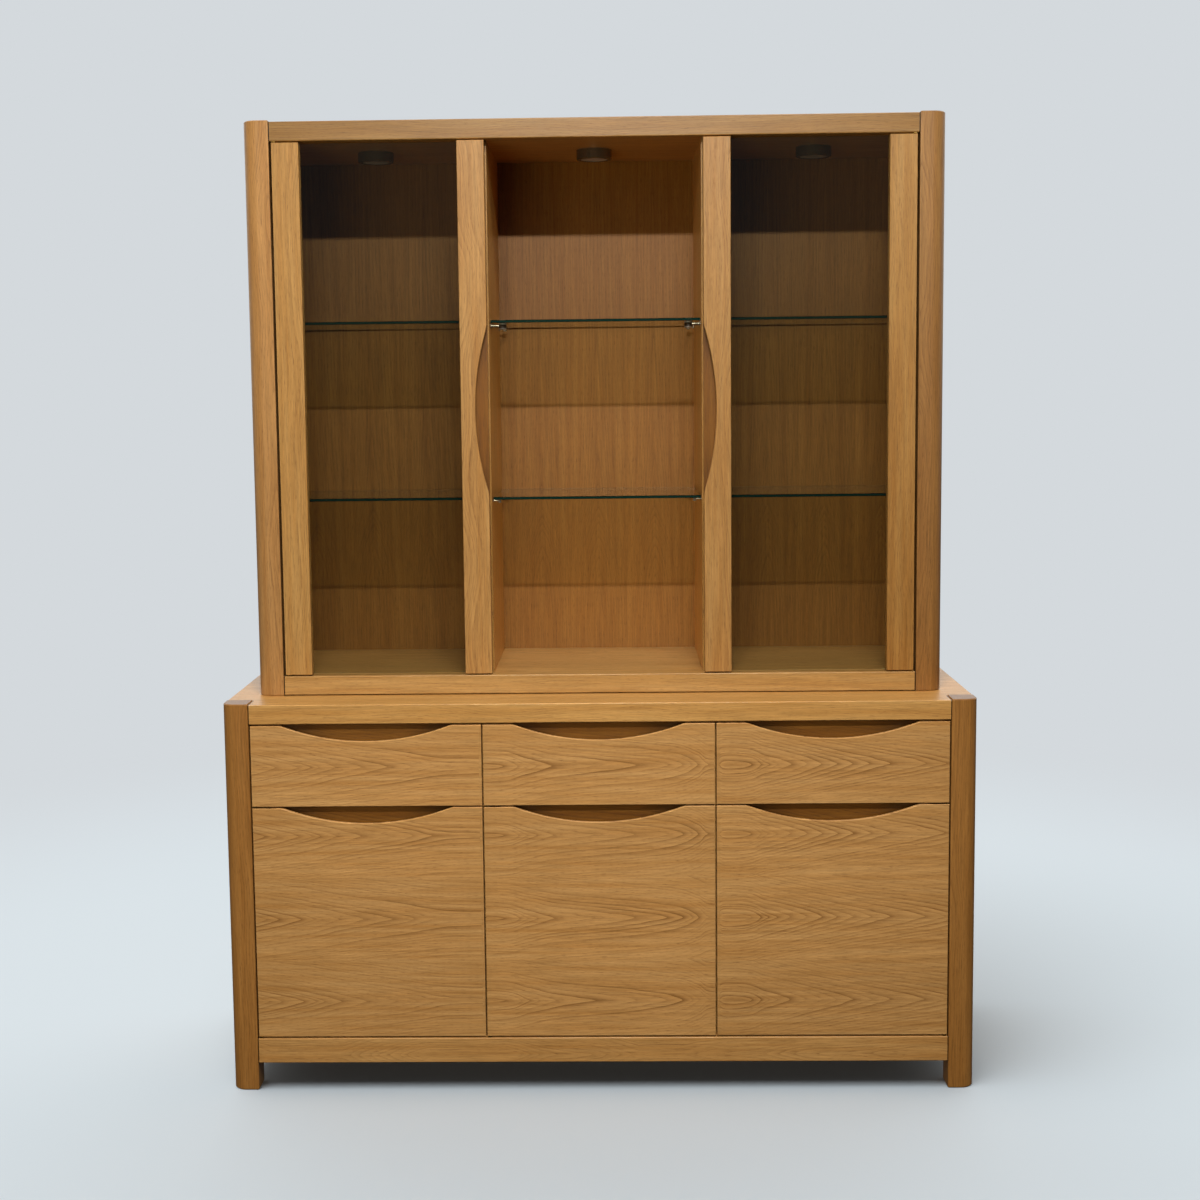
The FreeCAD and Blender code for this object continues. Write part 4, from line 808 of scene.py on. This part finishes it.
def on_points(tree, given, thing, finish, upright=False):
    """Put a thing on each point and finish the tree. Its Z lies along the point's facing, or if it
    has to stay upright, its X does, and the facing's length is its size."""
    facing = add(tree, "GeometryNodeInputNamedAttribute", {"Name": "facing"}, data_type="FLOAT_VECTOR")
    turn = add(tree, "FunctionNodeAlignRotationToVector", {"Vector": facing}, axis="X" if upright else "Z",
               pivot_axis="Z" if upright else "AUTO")
    size = add(tree, "VectorMath", {0: facing}, operation="LENGTH")
    placed = add(tree, "GeometryNodeInstanceOnPoints", {
        "Points": given["Geometry"], "Instance": thing, "Rotation": turn, "Scale": size.outputs["Value"]})
    real = add(tree, "GeometryNodeRealizeInstances", {0: placed})
    angle = add(tree, "GeometryNodeInputMeshEdgeAngle")
    round_here = add(tree, "FunctionNodeCompare", {0: angle.outputs[0], 1: math.radians(35)},
                     operation="LESS_THAN")
    edges = add(tree, "GeometryNodeSetShadeSmooth", {"Geometry": real, "Shade Smooth": round_here},
                domain="EDGE")
    faces = add(tree, "GeometryNodeSetShadeSmooth", {"Geometry": edges, "Shade Smooth": True},
                domain="FACE")
    plated = add(tree, "GeometryNodeSetMaterial", {"Geometry": faces, "Material": finish})
    add(tree, "NodeGroupOutput", {"Geometry": plated})


def grown(name, tree, places, body, slot, **sizes):
    """Run a tree on points, each a place and a facing in metres, and keep the result as a mesh."""
    points = bpy.data.meshes.new(name + "_points")
    points.from_pydata([place for place, facing in places], [], [])
    attribute = points.attributes.new("facing", "FLOAT_VECTOR", "POINT")
    attribute.data.foreach_set("vector", [v for place, facing in places for v in facing])
    piece = bpy.data.objects.new(name, points)
    scene.collection.objects.link(piece)
    modifier = piece.modifiers.new("tree", "NODES")
    modifier.node_group = tree
    for item in tree.interface.items_tree:
        if item.item_type == "SOCKET" and item.in_out == "INPUT" and item.name in sizes:
            modifier[item.identifier] = sizes[item.name]
    bpy.context.view_layer.update()
    mesh = bpy.data.meshes.new_from_object(piece.evaluated_get(bpy.context.evaluated_depsgraph_get()))
    piece.modifiers.clear()
    piece.data = mesh
    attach(piece, body)
    print(name, len(places), "times,", len(mesh.polygons), "faces")
    return piece


# %% The holders
HOLDER = {"Reach": 0.034, "Radius": 0.0085, "Height": 0.014}
holder_tree = new_tree("turned_shelf_holder", **HOLDER)
given = add(holder_tree, "NodeGroupInput").outputs
barrel = turned(holder_tree, ((0, 0.84), (-0.05, 1), (-0.2, 1), (-0.27, 0.8), (-0.5, 0.76), (-0.72, 0.8),
                              (-0.79, 1), (-0.94, 1), (-1, 0.86)), given["Radius"], given["Height"], 28)
arm_length = add(holder_tree, "Math", {0: given["Reach"], 1: given["Radius"]}, operation="SUBTRACT")
arm = turned(holder_tree, ((0, 0.3), (-0.75, 0.36), (-0.8, 0.42), (-0.93, 0.42), (-0.94, 0.72), (-1, 0.72)),
             given["Radius"], arm_length, 20)
arm_level = add(holder_tree, "Math", {0: given["Height"], 1: -0.42}, operation="MULTIPLY")
arm_end = add(holder_tree, "CombineXYZ", {0: arm_length, 2: arm_level})
lying = add(holder_tree, "GeometryNodeTransform", {"Geometry": arm, "Translation": arm_end,
                                                   "Rotation": (0, math.radians(90), 0)})
hanging = add(holder_tree, "GeometryNodeTransform", {
    "Geometry": barrel, "Translation": add(holder_tree, "CombineXYZ", {0: arm_length})})
holder = add(holder_tree, "GeometryNodeJoinGeometry")
for part in (lying, hanging):
    holder_tree.links.new(part.outputs[0], holder.inputs[0])
on_points(holder_tree, given, holder, chrome, upright=True)
print("holder tree", len(holder_tree.nodes), "nodes")

# %% The sleeves, and where both sit
sleeve_tree = new_tree("holder_sleeve", **HOLDER)
given = add(sleeve_tree, "NodeGroupInput").outputs
ring = turned(sleeve_tree, ((-0.27, 0.88), (-0.31, 0.93), (-0.7, 0.93), (-0.74, 0.88)),
              given["Radius"], given["Height"], 28)
ring_place = add(sleeve_tree, "Math", {0: given["Reach"], 1: given["Radius"]}, operation="SUBTRACT")
sleeve = add(sleeve_tree, "GeometryNodeTransform", {
    "Geometry": ring, "Translation": add(sleeve_tree, "CombineXYZ", {0: ring_place})})
on_points(sleeve_tree, given, sleeve, waist_rubber, upright=True)

PANE, HOLDER_INSET, PANE_PLAY, SMALL_HOLDER = 0.006, 0.022, 0.0015, 0.52
places, waists = [], []
for bay in ("left", "middle", "right"):
    low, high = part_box("glass_shelves_" + bay)
    for under in (low[2], high[2] - PANE):
        for along in (low[1] + HOLDER_INSET, high[1] - HOLDER_INSET):
            large = under > low[2] and along < 0
            size = 1.0 if large else SMALL_HOLDER
            pair = [((low[0] - PANE_PLAY, along, under), (size, 0, 0)),
                    ((high[0] + PANE_PLAY, along, under), (-size, 0, 0))]
            places += pair
            waists += pair if large else []
holders = grown("glass_shelf_supports", holder_tree, places, "cabinet", "nickel")
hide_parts("glass_shelf_holders")
grown("glass_shelf_support_sleeves", sleeve_tree, waists, "cabinet", "frosted_lens")

# %% [markdown]
# ## Screws and buffers
#
# The back panels are screwed to the partitions and boards that they cross, and the hinges' leaves
# to the cabinet and the doors. A countersunk screw shows a disc with a cross in it, and the cross
# is cut by taking two crossed blades away from the head. The cabinet's screws are zinc plated and
# the hinges' brass. Each door has two soft clear domes near its free edge, so that oak doesn't
# knock on oak.

# %% A tree for screws
def screw_tree(name, finish, **sizes):
    """Countersunk heads with a cross recess, their tops at the points."""
    tree = new_tree(name, **sizes)
    given = add(tree, "NodeGroupInput").outputs
    head = turned(tree, ((0, 0.9), (-0.1, 1), (-0.2, 1), (-1, 0.55)), given["Radius"], given["Height"], 24)
    reach = add(tree, "Math", {0: given["Radius"], 1: 1.25}, operation="MULTIPLY")
    width = add(tree, "Math", {0: given["Radius"], 1: 0.26}, operation="MULTIPLY")
    size = add(tree, "CombineXYZ", {0: reach, 1: width, 2: given["Height"]})
    blade = add(tree, "GeometryNodeMeshCube", {"Size": size})
    crossed = add(tree, "GeometryNodeTransform", {"Geometry": blade, "Rotation": (0, 0, math.radians(90))})
    recessed = add(tree, "GeometryNodeMeshBoolean", {0: head}, operation="DIFFERENCE")
    for cutter in (blade, crossed):
        tree.links.new(cutter.outputs[0], recessed.inputs[1])
    on_points(tree, given, recessed, finish)
    return tree


panel_screw = screw_tree("panel_screw", zinc, Radius=0.0036, Height=0.0018)
hinge_screw = screw_tree("hinge_screw", brass, Radius=0.0019, Height=0.001)
print("screws", panel_screw.name, hinge_screw.name)

# %% Screws in the back panels
PROUD, SCREW_MARGIN, HUTCH_SCREWS = 0.0003, 0.05, 6
BASE_HEIGHTS, ROW_PITCH = (0.18, 0.31, 0.45, 0.69), 0.22
rearward = (0, 1, 0)
low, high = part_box("hutch_back_panel")
back = high[1] + PROUD
pitch = (high[2] - low[2] - 2 * SCREW_MARGIN) / (HUTCH_SCREWS - 1)
places = []
for side in (-1, 1):
    for step in range(HUTCH_SCREWS):
        height = low[2] + SCREW_MARGIN + step * pitch
        places.append(((side * middle("hutch_partition_right")[0], back, height), rearward))
    for height in BASE_HEIGHTS:
        places.append(((side * middle("base_partition_right")[0], back, height), rearward))
for board in ("base_bottom_panel", "base_divider_panel"):
    for step in range(-3, 4):
        places.append(((step * ROW_PITCH, back, middle(board)[2]), rearward))
grown("back_panel_screws", panel_screw, places, "cabinet", "nickel")

# %% Screws in the hinges
LEAF_HOLES, PLATE_HOLES, FINE_PROUD = (0.019, 0.036), (0.015, 0.027), 0.0002
LEAF_GAPS = {"cupboard": (0.002, 0.0006), "glass": (0.001, 0.001)}  # under the door and over it
UP, DOWN = (0, 0, 1), (0, 0, -1)
hinges = [joint for joint in frame["joints"] if joint["type"] == "hinge"]
leaf_places, plate_places = [], []
for hinge in hinges:
    across, pivot, _ = hinge["pos_m"]
    low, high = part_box(hinge["child"] + "_pivot_plates")
    under, over = LEAF_GAPS[hinge["child"].split("_")[0]]
    leaf_ends = ((low[2] - under + FINE_PROUD, UP), (high[2] + over - FINE_PROUD, DOWN))
    plate_ends = ((low[2] - FINE_PROUD, DOWN), (high[2] + FINE_PROUD, UP))
    leaf_places += [((across, pivot + hole, level), way) for hole in LEAF_HOLES for level, way in leaf_ends]
    plate_places.append([((across - hinge["axis"][2] * hole, pivot, level), way)
                         for hole in PLATE_HOLES for level, way in plate_ends])
grown("hinge_leaf_screws", hinge_screw, leaf_places, "cabinet", "brass")
for hinge, places in zip(hinges, plate_places):
    grown(hinge["child"] + "_plate_screws", hinge_screw, places, hinge["child"], "brass")

# %% Door buffers
DOME_HEIGHT = 0.0018
buffer_tree = new_tree("door_buffer", Radius=0.0036, Height=DOME_HEIGHT)
given = add(buffer_tree, "NodeGroupInput").outputs
dome = turned(buffer_tree, ((0, 0.35), (-0.12, 0.62), (-0.35, 0.86), (-0.65, 0.97), (-1, 1)),
              given["Radius"], given["Height"], 24)
on_points(buffer_tree, given, dome, buffer_rubber)
BUFFERS = (  # the board it sticks to, and how far in from its free edge and from its ends
    ("cupboard_door_left", 0.0044, 0.025), ("cupboard_door_middle", 0.0042, 0.025),
    ("cupboard_door_right", 0.0044, 0.025), ("glass_door_left_handle_stile", 0.0105, 0.0275),
    ("glass_door_right_handle_stile", 0.0105, 0.0275))
for hinge, (board, from_edge, from_end) in zip(hinges, BUFFERS):
    low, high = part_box(board)
    across = low[0] + from_edge if hinge["axis"][2] > 0 else high[0] - from_edge
    places = [((across, high[1] + DOME_HEIGHT, height), rearward)
              for height in (low[2] + from_end, high[2] - from_end)]
    grown(hinge["child"] + "_buffers", buffer_tree, places, hinge["child"], "frosted_lens")
